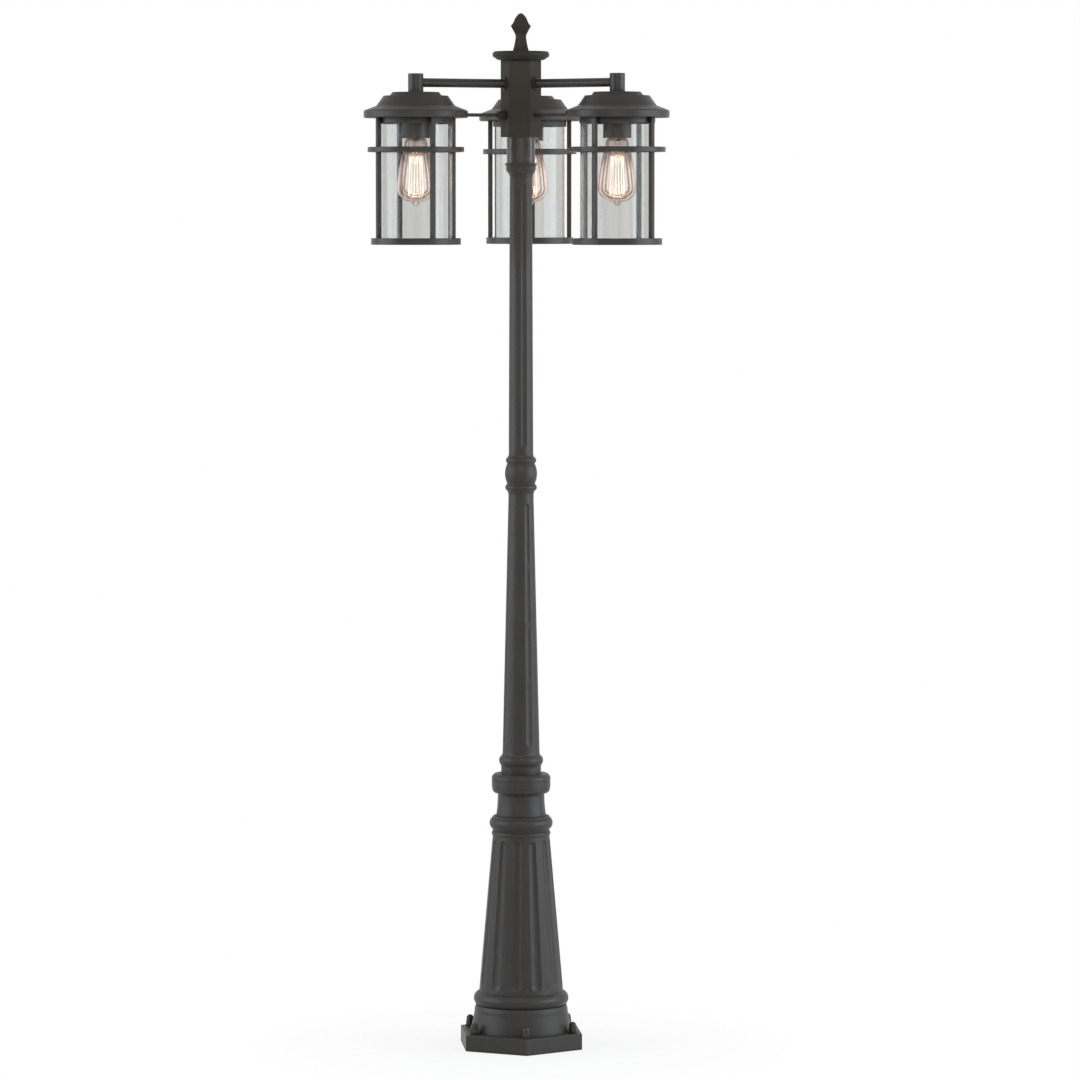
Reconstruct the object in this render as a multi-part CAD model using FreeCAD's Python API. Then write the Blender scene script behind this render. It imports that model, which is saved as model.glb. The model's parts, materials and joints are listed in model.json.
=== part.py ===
"""Triple head lamp post: a fluted sectional post on a hexagonal foot, a hexagonal hub,
and three caged glass lanterns on level arms, each with its bulb.

Millimetres, +Z up. The origin is on the post's axis, in the plane the foot stands on.
-Y is the side the post is seen from; the arms leave the hub at 90, 210 and 330 degrees
from +X. One STEP file is written for each node.
"""
import FreeCAD, Part

import math
import os

from FreeCAD import Vector

# ---------------------------------------------------------------- driving dimensions
GAP = 0.3                 # clearance round spigots and between parts that move

# heights of the post's sections, from the ground
PLATE_H = 27.5            # hexagonal foot plate
FOOT_TOP = 95.0
COLUMN_TOP = 396.5
NECK_TOP = 468.5
LOWER_POLE_TOP = 947.0
COUPLER_TOP = 1013.5
UPPER_POLE_TOP = 1486.0
CUP_TOP = 1508.0
SLEEVE_TOP = 1552.0
HUB_TOP = 1682.0
CAP_TOP = 1696.6
FINIAL_TOP = 1761.0

# foot
PLATE_R = 114.7           # corner radius of the hexagonal plate
PLATE_TURN = 9.4          # one corner lies this far from -Y towards +X
PLATE_EDGE = 1.6          # rounding of the plate's top edge
BOLT_CIRCLE_R = 97.0
BOLT_HOLE_R = 4.5
BOLT_COUNT = 6
FOOT_BORE_R = 74.0
WEB_H = 8.0               # floor of the foot's top, which the tie tube clamps

# fluted base column
COLUMN_R_LOW = 71.8
COLUMN_R_HIGH = 48.6
COLUMN_TAPER_TOP = 362.0
COLUMN_WALL = 6.5
COLUMN_FLUTES = 12
COLUMN_FLUTE_TURN = -2.9  # from -Y towards +X, as are the other flute turns
COLUMN_FLUTE_HALF = 7.6   # half angle of a flute's mouth
COLUMN_FLUTE_DEPTH = 2.8
COLUMN_FLUTE_Z = (103.0, 357.5)

# poles
POLE_FLUTES = 4
POLE_FLUTE_DEPTH = 1.6
LOWER_POLE_R = (31.7, 21.5)
LOWER_POLE_WALL = 5.4
LOWER_POLE_TAPER_Z = (505.0, 940.0)
LOWER_FLUTE_Z = (517.0, 930.5)
LOWER_FLUTE_TURN = 31.8
LOWER_FLUTE_HALF = 11.3
UPPER_POLE_R = (20.9, 18.95)
UPPER_POLE_BORE_R = 14.5
UPPER_FLUTE_Z = (1024.5, 1472.5)
UPPER_FLUTE_TURN = 18.6
UPPER_FLUTE_HALF = 13.9
SPIGOT_H = 8.0
SPIGOT_WALL = 4.0

# tie tube that clamps the sections, and its nuts
TIE_R = 9.0
TIE_BORE_R = 6.5
TIE_Z = (70.0, 1572.0)
TIE_NUT_AF = 27.0
TIE_NUT_H = 8.0

# fitter sleeve and hub
SLEEVE_R = 24.1
SLEEVE_BORE_R = 20.5
HUB_R = 34.5              # corner radius of the hexagonal hub
HUB_WALL = 4.0
HUB_FLOOR = 6.0
HUB_FACE = HUB_R * math.cos(math.radians(30))
HUB_INNER_FACE = HUB_FACE - HUB_WALL

# cap fixing: crossbar, stud, finial bush
BAR_Z = 1668.0
BAR_T = 4.0
BAR_W = 14.0
BAR_SCREW_Y = 20.5
STUD_R = 4.0
STUD_TOP = 1706.0
BUSH_R = 6.0
BUSH_Z = (1697.4, 1707.4)
FINIAL_SEAT = CAP_TOP + GAP

# arms and steady rods
ARM_ANGLES = {"left": 210.0, "right": 330.0, "rear": 90.0}
ARM_L = 195.5             # post axis to lantern axis
ARM_Z = 1641.9
ARM_R = 7.5
ARM_BORE_R = 5.5
ARM_FLANGE_R = 10.4
ARM_FLANGE_T = 3.0
ARM_NUT_AF = 19.0
ARM_NUT_T = 3.0
COUPLER_R = 12.9
COUPLER_TOP_Z = 1657.1
COUPLER_CAVITY_R = 7.0
ROD_R = 3.0
ROD_TIP_R = 2.0
ROD_Z = 1588.5
FERRULE_R = 7.2
FERRULE_L = 15.0

# lantern
HOOD_TOP = 1625.8
HOOD_R = 87.5
HOOD_WALL = 1.8
HOOD_RIM_T = 4.0
PAN_T = 2.0
PAN_Z = 1583.5            # underside of the pan that closes the hood
GALLERY_R = 63.6
GALLERY_BOTTOM = 1572.8
GLASS_R = 61.4
GLASS_T = 3.0
BAR_SIZE = 7.5
CAGE_R = 68.5             # lantern axis to the middle of a cage bar
CAGE_BARS = 4
MIDDLE_RING_R = 81.0
MIDDLE_RING_Z = (1525.5, 1534.0)
BOTTOM_RING_R = 75.5
BOTTOM_RING_BORE_R = 57.5
BOTTOM_RING_Z = (1370.3, 1381.4)
GLASS_SEAT = 2.0

# lampholder
NIPPLE_R = 5.0
NIPPLE_BORE_R = 3.5
NIPPLE_Z = (1591.0, 1633.5)
CUP_R = 23.6
CUP_T = 1.2
CUP_BOTTOM = 1548.9
CUP_CEILING = 1606.0
CUP_FLANGE_R = 30.0
HOLDER_R = 19.5
HOLDER_Z = (1553.0, 1597.0)
SHELL_R = 14.2
SHELL_BORE_R = 13.45
SHELL_Z = (1556.0, 1582.0)

# bulb, 64 mm Edison shape
BULB_R = 32.0
BULB_TIP = 1435.2
BULB_WIDEST = 1467.0
BULB_GLASS_T = 1.0
BULB_NECK_R = 11.3
BULB_NECK_TOP = 1560.0
BULB_CAP_R = 13.0
BULB_CAP_Z = (1551.0, 1573.3)
BULB_CAP_TURNS = 4
THREAD_PITCH = 3.63
FILAMENT_WIRES = 12
FILAMENT_TOP = (10.0, 1515.0)
FILAMENT_BOTTOM = (12.5, 1452.0)
FILAMENT_R = 0.35

# wiring
CABLE_R = 3.5
CABLE_Z = (66.0, 1578.0)
TAIL_R = 1.2
LEAD_R = 2.0
LEAD_BEND_HUB = 14.0
LEAD_BEND_ARM = 8.0
SPLICE_R = 4.5
SPLICE_H = 16.0
HUB_SPLICE_R = 12.0       # post axis to a splice in the hub
HUB_SPLICE_Z = 1592.0
FOOT_SPLICE_X = 8.0
FOOT_SPLICE_Z = 42.0

Z_AXIS = Vector(0, 0, 1)
ORIGIN = Vector(0, 0, 0)


# ---------------------------------------------------------------- general shapes
def arc_edge(start, middle, end):
    """An arc through three points. A shallow one, whose circle would reach across the
    axis, is written as a spline, because a torus can't be wider than its own ring."""
    edge = Part.Arc(start, middle, end).toShape()
    circle = edge.Curve
    ball_end = abs(circle.Center.x) < 0.01
    if ball_end or circle.Radius < 0.9 * circle.Center.x:
        return edge
    return circle.toBSpline(*edge.ParameterRange).toShape()


def outline_edges(start, steps, at):
    """Edges from start through steps. A step (r, z) is a straight line; a step
    (rm, zm, r, z) is an arc through (rm, zm). at() places a pair in space."""
    edges = []
    here = start
    for step in steps:
        end = step[-2:]
        if len(step) == 2:
            edges.append(Part.LineSegment(at(*here), at(*end)).toShape())
        else:
            edges.append(arc_edge(at(*here), at(*step[:2]), at(*end)))
        here = end
    if here != start:
        edges.append(Part.LineSegment(at(*here), at(*start)).toShape())
    return edges


def turned(start, *steps):
    """A solid turned about Z from a closed outline of (radius, height) steps."""
    edges = outline_edges(start, steps, lambda r, z: Vector(r, 0, z))
    return Part.Face(Part.Wire(edges)).revolve(ORIGIN, Z_AXIS, 360)


def tube(r_out, r_in, z0, z1):
    """A plain tube standing on z0."""
    outer = Part.makeCylinder(r_out, z1 - z0, Vector(0, 0, z0))
    return outer.cut(Part.makeCylinder(r_in, z1 - z0, Vector(0, 0, z0)))


def hexagon(corner_r, z0, z1, turn=0.0):
    """A hexagonal prism. turn moves a corner from -Y towards +X, in degrees."""
    points = []
    for i in range(7):
        a = math.radians(turn - 90 + 60 * i)
        points.append(Vector(corner_r * math.cos(a), corner_r * math.sin(a), z0))
    return Part.Face(Part.makePolygon(points)).extrude(Vector(0, 0, z1 - z0))


def hex_nut(across_flats, bore_r, z0, z1):
    """A hexagonal nut on Z with both faces chamfered."""
    corner = across_flats / math.sqrt(3)
    edge = (corner - across_flats / 2) * 0.6
    body = hexagon(corner, z0, z1)
    envelope = turned((0, z0), (across_flats / 2, z0), (corner, z0 + edge),
                      (corner, z1 - edge), (across_flats / 2, z1), (0, z1))
    return body.common(envelope).cut(Part.makeCylinder(bore_r, z1 - z0, Vector(0, 0, z0)))


def along_x(shape, x, z, y=0.0):
    """A shape built on Z, laid along +X from (x, y, z)."""
    laid = shape.copy()
    laid.rotate(ORIGIN, Vector(0, 1, 0), 90)
    laid.translate(Vector(x, y, z))
    return laid


def spun(shape, angle, centre=ORIGIN):
    """A copy turned about a vertical axis."""
    copy = shape.copy()
    copy.rotate(centre, Z_AXIS, angle)
    return copy


def moved(shape, x, y, z=0.0):
    """A copy moved by x, y, z."""
    copy = shape.copy()
    copy.translate(Vector(x, y, z))
    return copy


def on_arms(build):
    """One solid per arm: build() makes it for an arm that points along +X."""
    return [spun(build(), angle) for angle in ARM_ANGLES.values()]


# ---------------------------------------------------------------- flutes
def flute_cutter_radius(surface_r, half_angle, depth):
    """Radius of the round cutter whose mouth spans half_angle each side on a round
    surface, and whose bottom is depth below that surface."""
    reach = surface_r * math.cos(math.radians(half_angle))
    floor = surface_r - depth
    top = floor ** 2 + surface_r ** 2 - 2 * floor * reach
    return top / (2 * (reach - floor))


def capsule(z0, z1, surface, half_angle, depth):
    """A tapered cutter with ball ends, standing at the +X side of a tapered pole.
    surface(z) is the pole's radius. The mouth runs from z0 to z1."""
    balls = []
    for z, inward in ((z0, 1), (z1, -1)):
        cutter = flute_cutter_radius(surface(z), half_angle, depth)
        mouth = math.sqrt(cutter ** 2 - (cutter - depth) ** 2)
        centre = z + inward * mouth
        balls.append((surface(centre) - depth + cutter, centre, cutter))
    (x0, c0, r0), (x1, c1, r1) = balls
    length = math.hypot(x1 - x0, c1 - c0)
    sine = (r0 - r1) / length
    cosine = math.sqrt(1 - sine ** 2)
    edges = outline_edges(
        (0, -r0),
        [(r0 * math.cos(-0.7), r0 * math.sin(-0.7), r0 * cosine, r0 * sine),
         (r1 * cosine, length + r1 * sine),
         (r1 * math.cos(0.7), length + r1 * math.sin(0.7), 0, length + r1)],
        lambda r, z: Vector(r, 0, z))
    solid = Part.Face(Part.Wire(edges)).revolve(ORIGIN, Z_AXIS, 360)
    lean = math.degrees(math.atan2(x1 - x0, c1 - c0))
    solid.rotate(ORIGIN, Vector(0, 1, 0), lean)
    solid.translate(Vector(x0, 0, c0))
    return solid


def fluted(pole, count, turn, z_range, surface, half_angle, depth):
    """The pole with count flutes cut; turn is the first one's angle from -Y."""
    cutter = capsule(z_range[0], z_range[1], surface, half_angle, depth)
    cutters = [spun(cutter, turn - 90 + 360 * i / count) for i in range(count)]
    return pole.cut(cutters)


def taper(z_range, r_range):
    """The radius of a straight taper as a function of height."""
    slope = (r_range[1] - r_range[0]) / (z_range[1] - z_range[0])
    return lambda z: r_range[0] + slope * (z - z_range[0])


# ---------------------------------------------------------------- post
def bolt_places():
    """The centres of the anchor holes, near the foot's corners."""
    places = []
    for i in range(BOLT_COUNT):
        a = math.radians(PLATE_TURN - 90 + 360 * i / BOLT_COUNT)
        places.append((BOLT_CIRCLE_R * math.cos(a), BOLT_CIRCLE_R * math.sin(a)))
    return places


def base_foot():
    """Hexagonal plate, flared bell and large roll, cast in one, open below."""
    plate = hexagon(PLATE_R, 0, PLATE_H, PLATE_TURN)
    top_edges = [e for e in plate.Edges if e.BoundBox.ZMin > PLATE_H - 0.1]
    plate = plate.makeFillet(PLATE_EDGE, top_edges)
    bell = turned((0, 10), (86.5, 10), (86.5, PLATE_H), (83.4, 42, 79.8, 60),
                  (78.9, 67.5, 77.4, 71.6), (75.8, 72.5), (77.4, 73.4),
                  (81.1, 82.5, 73.4, 94.4), (71.8, FOOT_TOP), (0, FOOT_TOP))
    spigot = tube(64.0, 64.0 - SPIGOT_WALL, FOOT_TOP - 1, FOOT_TOP + SPIGOT_H)
    web_under = FOOT_TOP - WEB_H
    hollow = turned((0, -1), (FOOT_BORE_R, -1), (FOOT_BORE_R, 58), (66.0, web_under),
                    (0, web_under))
    foot = plate.fuse([bell, spigot]).cut(hollow)
    holes = [Part.makeCylinder(TIE_R + GAP, 40, Vector(0, 0, 70))]
    for x, y in bolt_places():
        holes.append(Part.makeCylinder(BOLT_HOLE_R, PLATE_H + 2, Vector(x, y, -1)))
    return foot.cut(holes).removeSplitter()


def base_column():
    """Tapered column with twelve flutes, a bead and a roll at its top."""
    surface = taper((FOOT_TOP, COLUMN_TAPER_TOP), (COLUMN_R_LOW, COLUMN_R_HIGH))
    wall = COLUMN_WALL
    lip = 36.0
    pole = turned((COLUMN_R_LOW, FOOT_TOP), (COLUMN_R_HIGH, COLUMN_TAPER_TOP),
                  (49.6, 363.4), (50.3, 366.4, 49.4, 369.4), (48.2, 370.6),
                  (49.3, 374.0), (54.0, 384.2, 50.8, 392.2), (49.2, 392.7),
                  (48.5, 395.2, 45.6, COLUMN_TOP), (lip, COLUMN_TOP),
                  (lip, COLUMN_TOP - SPIGOT_H - 2), (COLUMN_R_HIGH - wall, COLUMN_TAPER_TOP),
                  (COLUMN_R_LOW - wall, FOOT_TOP))
    return fluted(pole, COLUMN_FLUTES, COLUMN_FLUTE_TURN, COLUMN_FLUTE_Z, surface,
                  COLUMN_FLUTE_HALF, COLUMN_FLUTE_DEPTH)


def neck_collar():
    """Waisted neck with a wide collar, over the column."""
    spigot = 36.0 - GAP
    return turned((42.6, COLUMN_TOP), (40.5, 415, 39.7, 433.0), (40.9, 434.6, 43.4, 435.4),
                  (47.6, 437.6, 49.2, 442.6), (49.2, 444.4), (50.1, 445.2), (50.1, 458.2),
                  (49.2, 464.4, 44.8, NECK_TOP), (27.5, NECK_TOP), (27.5, NECK_TOP - 12),
                  (33.0, NECK_TOP - 22), (spigot - SPIGOT_WALL, COLUMN_TOP),
                  (spigot - SPIGOT_WALL, COLUMN_TOP - SPIGOT_H), (spigot, COLUMN_TOP - SPIGOT_H),
                  (spigot, COLUMN_TOP))


def lower_pole():
    """Tapered pole with a rolled ring at its foot and four flutes."""
    surface = taper(LOWER_POLE_TAPER_Z, LOWER_POLE_R)
    z0, z1 = LOWER_POLE_TAPER_Z
    r0, r1 = LOWER_POLE_R
    bore_low = r0 - LOWER_POLE_WALL
    bore_high = r1 - LOWER_POLE_WALL
    spigot = 27.5 - GAP
    pole = turned((34.4, NECK_TOP), (34.1, 471.0), (34.1, 478.0), (34.6, 482.6, 36.0, 485.2),
                  (37.7, 491.0, 36.1, 497.0), (33.0, 500.0, r0, z0), (r1, z1),
                  (r1, LOWER_POLE_TOP), (bore_high, LOWER_POLE_TOP), (bore_high, z1),
                  (bore_low, z0), (spigot - SPIGOT_WALL, NECK_TOP),
                  (spigot - SPIGOT_WALL, NECK_TOP - SPIGOT_H), (spigot, NECK_TOP - SPIGOT_H),
                  (spigot, NECK_TOP))
    return fluted(pole, POLE_FLUTES, LOWER_FLUTE_TURN, LOWER_FLUTE_Z, surface,
                  LOWER_FLUTE_HALF, POLE_FLUTE_DEPTH)


def middle_coupler():
    """Casting between the poles: a barrel between two beads."""
    bore = TIE_R + 3
    low = LOWER_POLE_R[1] - LOWER_POLE_WALL - GAP
    high = UPPER_POLE_BORE_R - GAP
    return turned((21.9, LOWER_POLE_TOP), (22.6, 950.4), (24.6, 952.8), (27.0, 957.8, 24.2, 962.8),
                  (23.7, 964.4), (27.4, 982.0, 23.7, 997.6), (24.0, 999.4),
                  (26.0, 1003.6, 24.0, 1008.2), (21.9, 1010.4, 21.2, COUPLER_TOP),
                  (high, COUPLER_TOP), (high, COUPLER_TOP + SPIGOT_H), (bore, COUPLER_TOP + SPIGOT_H),
                  (bore, LOWER_POLE_TOP - SPIGOT_H), (low, LOWER_POLE_TOP - SPIGOT_H),
                  (low, LOWER_POLE_TOP))


def upper_pole():
    """Slim pole with four flutes."""
    surface = taper((COUPLER_TOP, UPPER_POLE_TOP), UPPER_POLE_R)
    pole = turned((UPPER_POLE_R[0], COUPLER_TOP), (UPPER_POLE_R[1], UPPER_POLE_TOP),
                  (UPPER_POLE_BORE_R, UPPER_POLE_TOP), (UPPER_POLE_BORE_R, COUPLER_TOP))
    return fluted(pole, POLE_FLUTES, UPPER_FLUTE_TURN, UPPER_FLUTE_Z, surface,
                  UPPER_FLUTE_HALF, POLE_FLUTE_DEPTH)


def pole_cup():
    """Moulded cup on the upper pole's top, with a thin ring under the sleeve."""
    spigot = UPPER_POLE_BORE_R - GAP
    seat = SLEEVE_BORE_R - GAP
    return turned((19.6, UPPER_POLE_TOP), (20.0, 1489.0), (22.2, 1490.6), (22.8, 1492.8),
                  (24.6, 1494.4, 25.3, 1498.0), (25.3, 1503.6), (26.6, 1504.2),
                  (27.4, 1505.8, 26.6, 1507.4), (25.6, CUP_TOP), (seat, CUP_TOP),
                  (seat, CUP_TOP + 4), (TIE_R + GAP, CUP_TOP + 4),
                  (TIE_R + GAP, UPPER_POLE_TOP - SPIGOT_H), (spigot, UPPER_POLE_TOP - SPIGOT_H),
                  (spigot, UPPER_POLE_TOP))


def hub_body():
    """Hexagonal hub, open above, with a floor, three arm holes and three rod holes."""
    inner_r = HUB_INNER_FACE / math.cos(math.radians(30))
    corner_turn = 30.0
    body = hexagon(HUB_R, SLEEVE_TOP, HUB_TOP, corner_turn)
    upright = [e for e in body.Edges if e.BoundBox.ZLength > 100]
    body = body.makeFillet(0.8, upright)
    body = body.cut(hexagon(inner_r, SLEEVE_TOP + HUB_FLOOR, HUB_TOP + 1, corner_turn))
    lugs = []
    for side in (-1, 1):
        y0 = min(side * 16.5, side * (HUB_INNER_FACE + 1))
        lug = Part.makeBox(12, HUB_INNER_FACE + 1 - 16.5, 10, Vector(-6, y0, BAR_Z - 10))
        lugs.append(lug.cut(Part.makeCylinder(2.1, 9, Vector(0, side * BAR_SCREW_Y, BAR_Z - 9))))
    body = body.fuse(lugs)
    holes = [Part.makeCylinder(TIE_R + GAP, HUB_FLOOR + 2, Vector(0, 0, SLEEVE_TOP - 1))]
    for radius, z in ((ARM_R + 0.1, ARM_Z), (ROD_R + 0.1, ROD_Z)):
        hole = along_x(Part.makeCylinder(radius, 12), HUB_INNER_FACE - 4, z)
        holes += on_arms(lambda: hole)
    return body.cut(holes).removeSplitter()


def centre_tube_nuts():
    """The two nuts of the tie tube: under the foot's web and on the hub's floor."""
    web_under = FOOT_TOP - WEB_H
    floor = SLEEVE_TOP + HUB_FLOOR
    return [hex_nut(TIE_NUT_AF, TIE_R + 0.05, web_under - TIE_NUT_H, web_under),
            hex_nut(TIE_NUT_AF, TIE_R + 0.05, floor, floor + TIE_NUT_H)]


def cap_crossbar():
    """Flat bar across the hub with the stud that holds the cap."""
    length = 2 * (HUB_INNER_FACE - GAP)
    bar = Part.makeBox(BAR_W, length, BAR_T, Vector(-BAR_W / 2, -length / 2, BAR_Z))
    corners = [e for e in bar.Edges if abs(e.BoundBox.ZLength - BAR_T) < 0.01]
    bar = bar.makeFillet(3.0, corners)
    for side in (-1, 1):
        bar = bar.cut(Part.makeCylinder(2.3, BAR_T, Vector(0, side * BAR_SCREW_Y, BAR_Z)))
    stud = turned((0, BAR_Z + 1), (STUD_R, BAR_Z + 1), (STUD_R, STUD_TOP - 1),
                  (STUD_R - 1, STUD_TOP), (0, STUD_TOP))
    return bar.fuse(stud).removeSplitter()


def crossbar_screws():
    """Two pan head screws that fix the crossbar to the hub's lugs."""
    top = BAR_Z + BAR_T
    screw = turned((0, top - 11), (1.4, top - 11), (2.0, top - 10), (2.0, top), (3.9, top),
                   (3.7, top + 1.8, 2.4, top + 2.5), (0, top + 2.5))
    slot = Part.makeBox(6, 0.9, 1.2, Vector(-3, -0.45, top + 1.4))
    screw = screw.cut(slot)
    return [moved(screw, 0, side * BAR_SCREW_Y) for side in (-1, 1)]


def hub_cap():
    """Round cap with a rolled rim, a stepped underside and a ring that locates it."""
    return turned((STUD_R + GAP, CAP_TOP), (44.6, CAP_TOP), (48.2, 1690.6, 44.0, 1685.4),
                  (42.2, 1685.0), (42.2, 1683.6), (38.0, HUB_TOP), (25.0, HUB_TOP),
                  (25.0, HUB_TOP - 5), (21.5, HUB_TOP - 5), (21.5, 1691.0),
                  (STUD_R + GAP, 1692.0))


def finial():
    """Hexagonal spear finial. Three bars with the spear's outline, turned 60 degrees
    apart, have it in common."""
    def at(a, z):
        return Vector(a, -30, z)
    half = [(12.9, FINIAL_SEAT), (12.9, 1698.4), (10.6, 1707.4, 9.3, 1715.4),
            (8.6, 1720.4, 9.3, 1725.6), (16.6, 1739.4), (13.3, 1743.5, 10.8, 1748.8),
            (7.4, 1755.4, 3.0, 1760.0), (1.6, FINIAL_TOP - 0.2, 0, FINIAL_TOP)]
    edges = outline_edges((0, FINIAL_SEAT), half, at)
    right = Part.Face(Part.Wire(edges)).extrude(Vector(0, 60, 0))
    left = right.mirror(ORIGIN, Vector(1, 0, 0))
    bar = right.fuse(left).removeSplitter()
    spear = bar.common(spun(bar, 60)).common(spun(bar, 120))
    pocket = turned((0, FINIAL_SEAT - 1), (BUSH_R + GAP, FINIAL_SEAT - 1),
                    (BUSH_R + GAP, BUSH_Z[1] + GAP), (STUD_R + 0.5, BUSH_Z[1] + GAP),
                    (STUD_R + 0.5, BUSH_Z[1] + 4), (0, BUSH_Z[1] + 6.5))
    return spear.cut(pocket)


def finial_bush():
    """Threaded bush in the finial's foot, which climbs the stud."""
    z0, z1 = BUSH_Z
    return turned((STUD_R + GAP, z0), (BUSH_R - 0.5, z0), (BUSH_R, z0 + 0.5),
                  (BUSH_R, z1 - 0.5), (BUSH_R - 0.5, z1), (STUD_R + GAP, z1))


def anchor_washers():
    """Six washers under the anchor nuts."""
    washer = tube(8.0, BOLT_HOLE_R, PLATE_H, PLATE_H + 1.6)
    return [moved(washer, x, y) for x, y in bolt_places()]


def anchor_nuts():
    """Six domed nuts with blind bores."""
    z0 = PLATE_H + 1.6
    flats = 13.0
    hex_h = 7.5
    top = z0 + 17.9
    bore_h = 14.2
    corner = flats / math.sqrt(3)
    envelope = turned((0, z0), (6.6, z0), (corner, z0 + 0.5), (corner, z0 + hex_h - 0.7),
                      (6.4, z0 + hex_h), (6.1, z0 + hex_h + 2.6),
                      (4.6, top - 2.2, 0, top))
    nut = hexagon(corner, z0, top).common(envelope)
    nut = nut.cut(Part.makeCylinder(4.1, bore_h, Vector(0, 0, z0)))
    return [moved(nut, x, y) for x, y in bolt_places()]


# ---------------------------------------------------------------- arms
def arm_tube():
    """Level arm from inside the hub to inside the coupler."""
    start = HUB_INNER_FACE - ARM_NUT_T - 0.5
    end = ARM_L - COUPLER_CAVITY_R - 0.6
    return along_x(tube(ARM_R, ARM_BORE_R, 0, end - start), start, ARM_Z)


def arm_flange():
    """Round flange on the arm, against the hub's face."""
    bore = ARM_R + 0.1
    ring = turned((bore, 0), (ARM_FLANGE_R, 0), (ARM_FLANGE_R, ARM_FLANGE_T - 0.9),
                  (ARM_FLANGE_R - 0.9, ARM_FLANGE_T), (bore, ARM_FLANGE_T))
    return along_x(ring, HUB_FACE, ARM_Z)


def arm_locknut():
    """Thin nut on the arm's end, inside the hub."""
    nut = hex_nut(ARM_NUT_AF, ARM_R + 0.05, 0, ARM_NUT_T)
    return along_x(nut, HUB_INNER_FACE - ARM_NUT_T, ARM_Z)


def arm_coupler():
    """Upright round elbow that joins the arm to the lantern's stem."""
    body = turned((0, HOOD_TOP), (COUPLER_R, HOOD_TOP), (COUPLER_R, COUPLER_TOP_Z - 0.8),
                  (COUPLER_R - 0.8, COUPLER_TOP_Z), (0, COUPLER_TOP_Z))
    cavity = turned((0, HOOD_TOP - 1), (NIPPLE_R + 0.05, HOOD_TOP - 1),
                    (NIPPLE_R + 0.05, NIPPLE_Z[1] + 0.5), (COUPLER_CAVITY_R, NIPPLE_Z[1] + 0.5),
                    (COUPLER_CAVITY_R, ARM_Z + 8), (0, ARM_Z + 8))
    body = moved(body.cut(cavity), ARM_L, 0)
    mouth = along_x(Part.makeCylinder(ARM_R + 0.1, COUPLER_R), ARM_L - COUPLER_R - 1, ARM_Z)
    return body.cut(mouth)


def steady_rod():
    """Thin level rod from the hub's wall to the hood's rim, with a reduced tip."""
    start = HUB_INNER_FACE
    shoulder = ARM_L - HOOD_R - 0.1
    tip = shoulder + HOOD_RIM_T
    rod = turned((0, 0), (ROD_R, 0), (ROD_R, shoulder - start), (ROD_TIP_R, shoulder - start),
                 (ROD_TIP_R, tip - start), (0, tip - start))
    return along_x(rod, start, ROD_Z)


def rod_ferrule():
    """Ribbed ferrule round the left rod's root."""
    bore = ROD_R + 0.1
    ring = turned((bore, 0), (FERRULE_R - 0.6, 0), (FERRULE_R - 0.6, 1.6), (FERRULE_R, 2.2),
                  (FERRULE_R, FERRULE_L - 2.8), (FERRULE_R - 0.8, FERRULE_L - 2.2),
                  (FERRULE_R - 0.8, FERRULE_L - 1.2), (FERRULE_R, FERRULE_L - 1.0),
                  (FERRULE_R, FERRULE_L - 0.4), (FERRULE_R - 0.4, FERRULE_L), (bore, FERRULE_L))
    return spun(along_x(ring, HUB_FACE, ROD_Z), ARM_ANGLES["left"])


# ---------------------------------------------------------------- lantern
def lantern_hood():
    """Spun hood: a low drum, a ledge, a steep cone, a shallow cone and a deep rim."""
    rim = HOOD_R - HOOD_RIM_T
    hood = turned((NIPPLE_R + 0.2, HOOD_TOP), (39.4, HOOD_TOP), (43.2, 1620.6),
                  (54.2, 1619.7), (66.1, 1603.1), (85.9, 1595.5), (HOOD_R, 1593.5),
                  (HOOD_R, 1584.5), (86.4, 1582.8), (85.5, 1582.8), (85.5, PAN_Z + PAN_T),
                  (rim, PAN_Z + PAN_T), (rim, 1594.4), (64.9, 1601.5), (53.2, 1617.9),
                  (42.2, 1618.8), (38.5, HOOD_TOP - HOOD_WALL),
                  (NIPPLE_R + 0.2, HOOD_TOP - HOOD_WALL))
    hood = moved(hood, ARM_L, 0)
    hole = along_x(Part.makeCylinder(ROD_TIP_R + 0.1, 8), ARM_L - HOOD_R - 2, ROD_Z)
    return hood.cut(hole)


def gallery_pan():
    """Pan that closes the hood, with the skirt that steadies the glass."""
    skirt_in = GLASS_R + 0.4
    pan = turned((CUP_R + 0.4, PAN_Z), (skirt_in, PAN_Z), (skirt_in, GALLERY_BOTTOM),
                 (GALLERY_R - 1.0, GALLERY_BOTTOM), (GALLERY_R, GALLERY_BOTTOM + 1.0),
                 (GALLERY_R, PAN_Z), (85.2, PAN_Z), (85.2, PAN_Z + PAN_T),
                 (CUP_R + 0.4, PAN_Z + PAN_T))
    return moved(pan, ARM_L, 0)


def lantern_glass():
    """Clear cylinder standing in the bottom ring's seat."""
    seat = BOTTOM_RING_Z[1] - GLASS_SEAT
    top = PAN_Z - 2.5
    inner = GLASS_R - GLASS_T
    edge = 0.6
    glass = turned((inner, seat), (GLASS_R, seat), (GLASS_R, top - edge), (GLASS_R - edge, top),
                   (inner + edge, top), (inner, top - edge))
    return moved(glass, ARM_L, 0)


def lantern_cage_bars():
    """Four square upright bars, one towards the post."""
    height = PAN_Z - BOTTOM_RING_Z[1]
    half = BAR_SIZE / 2
    bar = Part.makeBox(BAR_SIZE, BAR_SIZE, height,
                       Vector(CAGE_R - half, -half, BOTTOM_RING_Z[1]))
    upright = [e for e in bar.Edges if e.BoundBox.ZLength > 100]
    bar = bar.makeFillet(0.6, upright)
    return [moved(spun(bar, 360 * i / CAGE_BARS), ARM_L, 0) for i in range(CAGE_BARS)]


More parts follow.
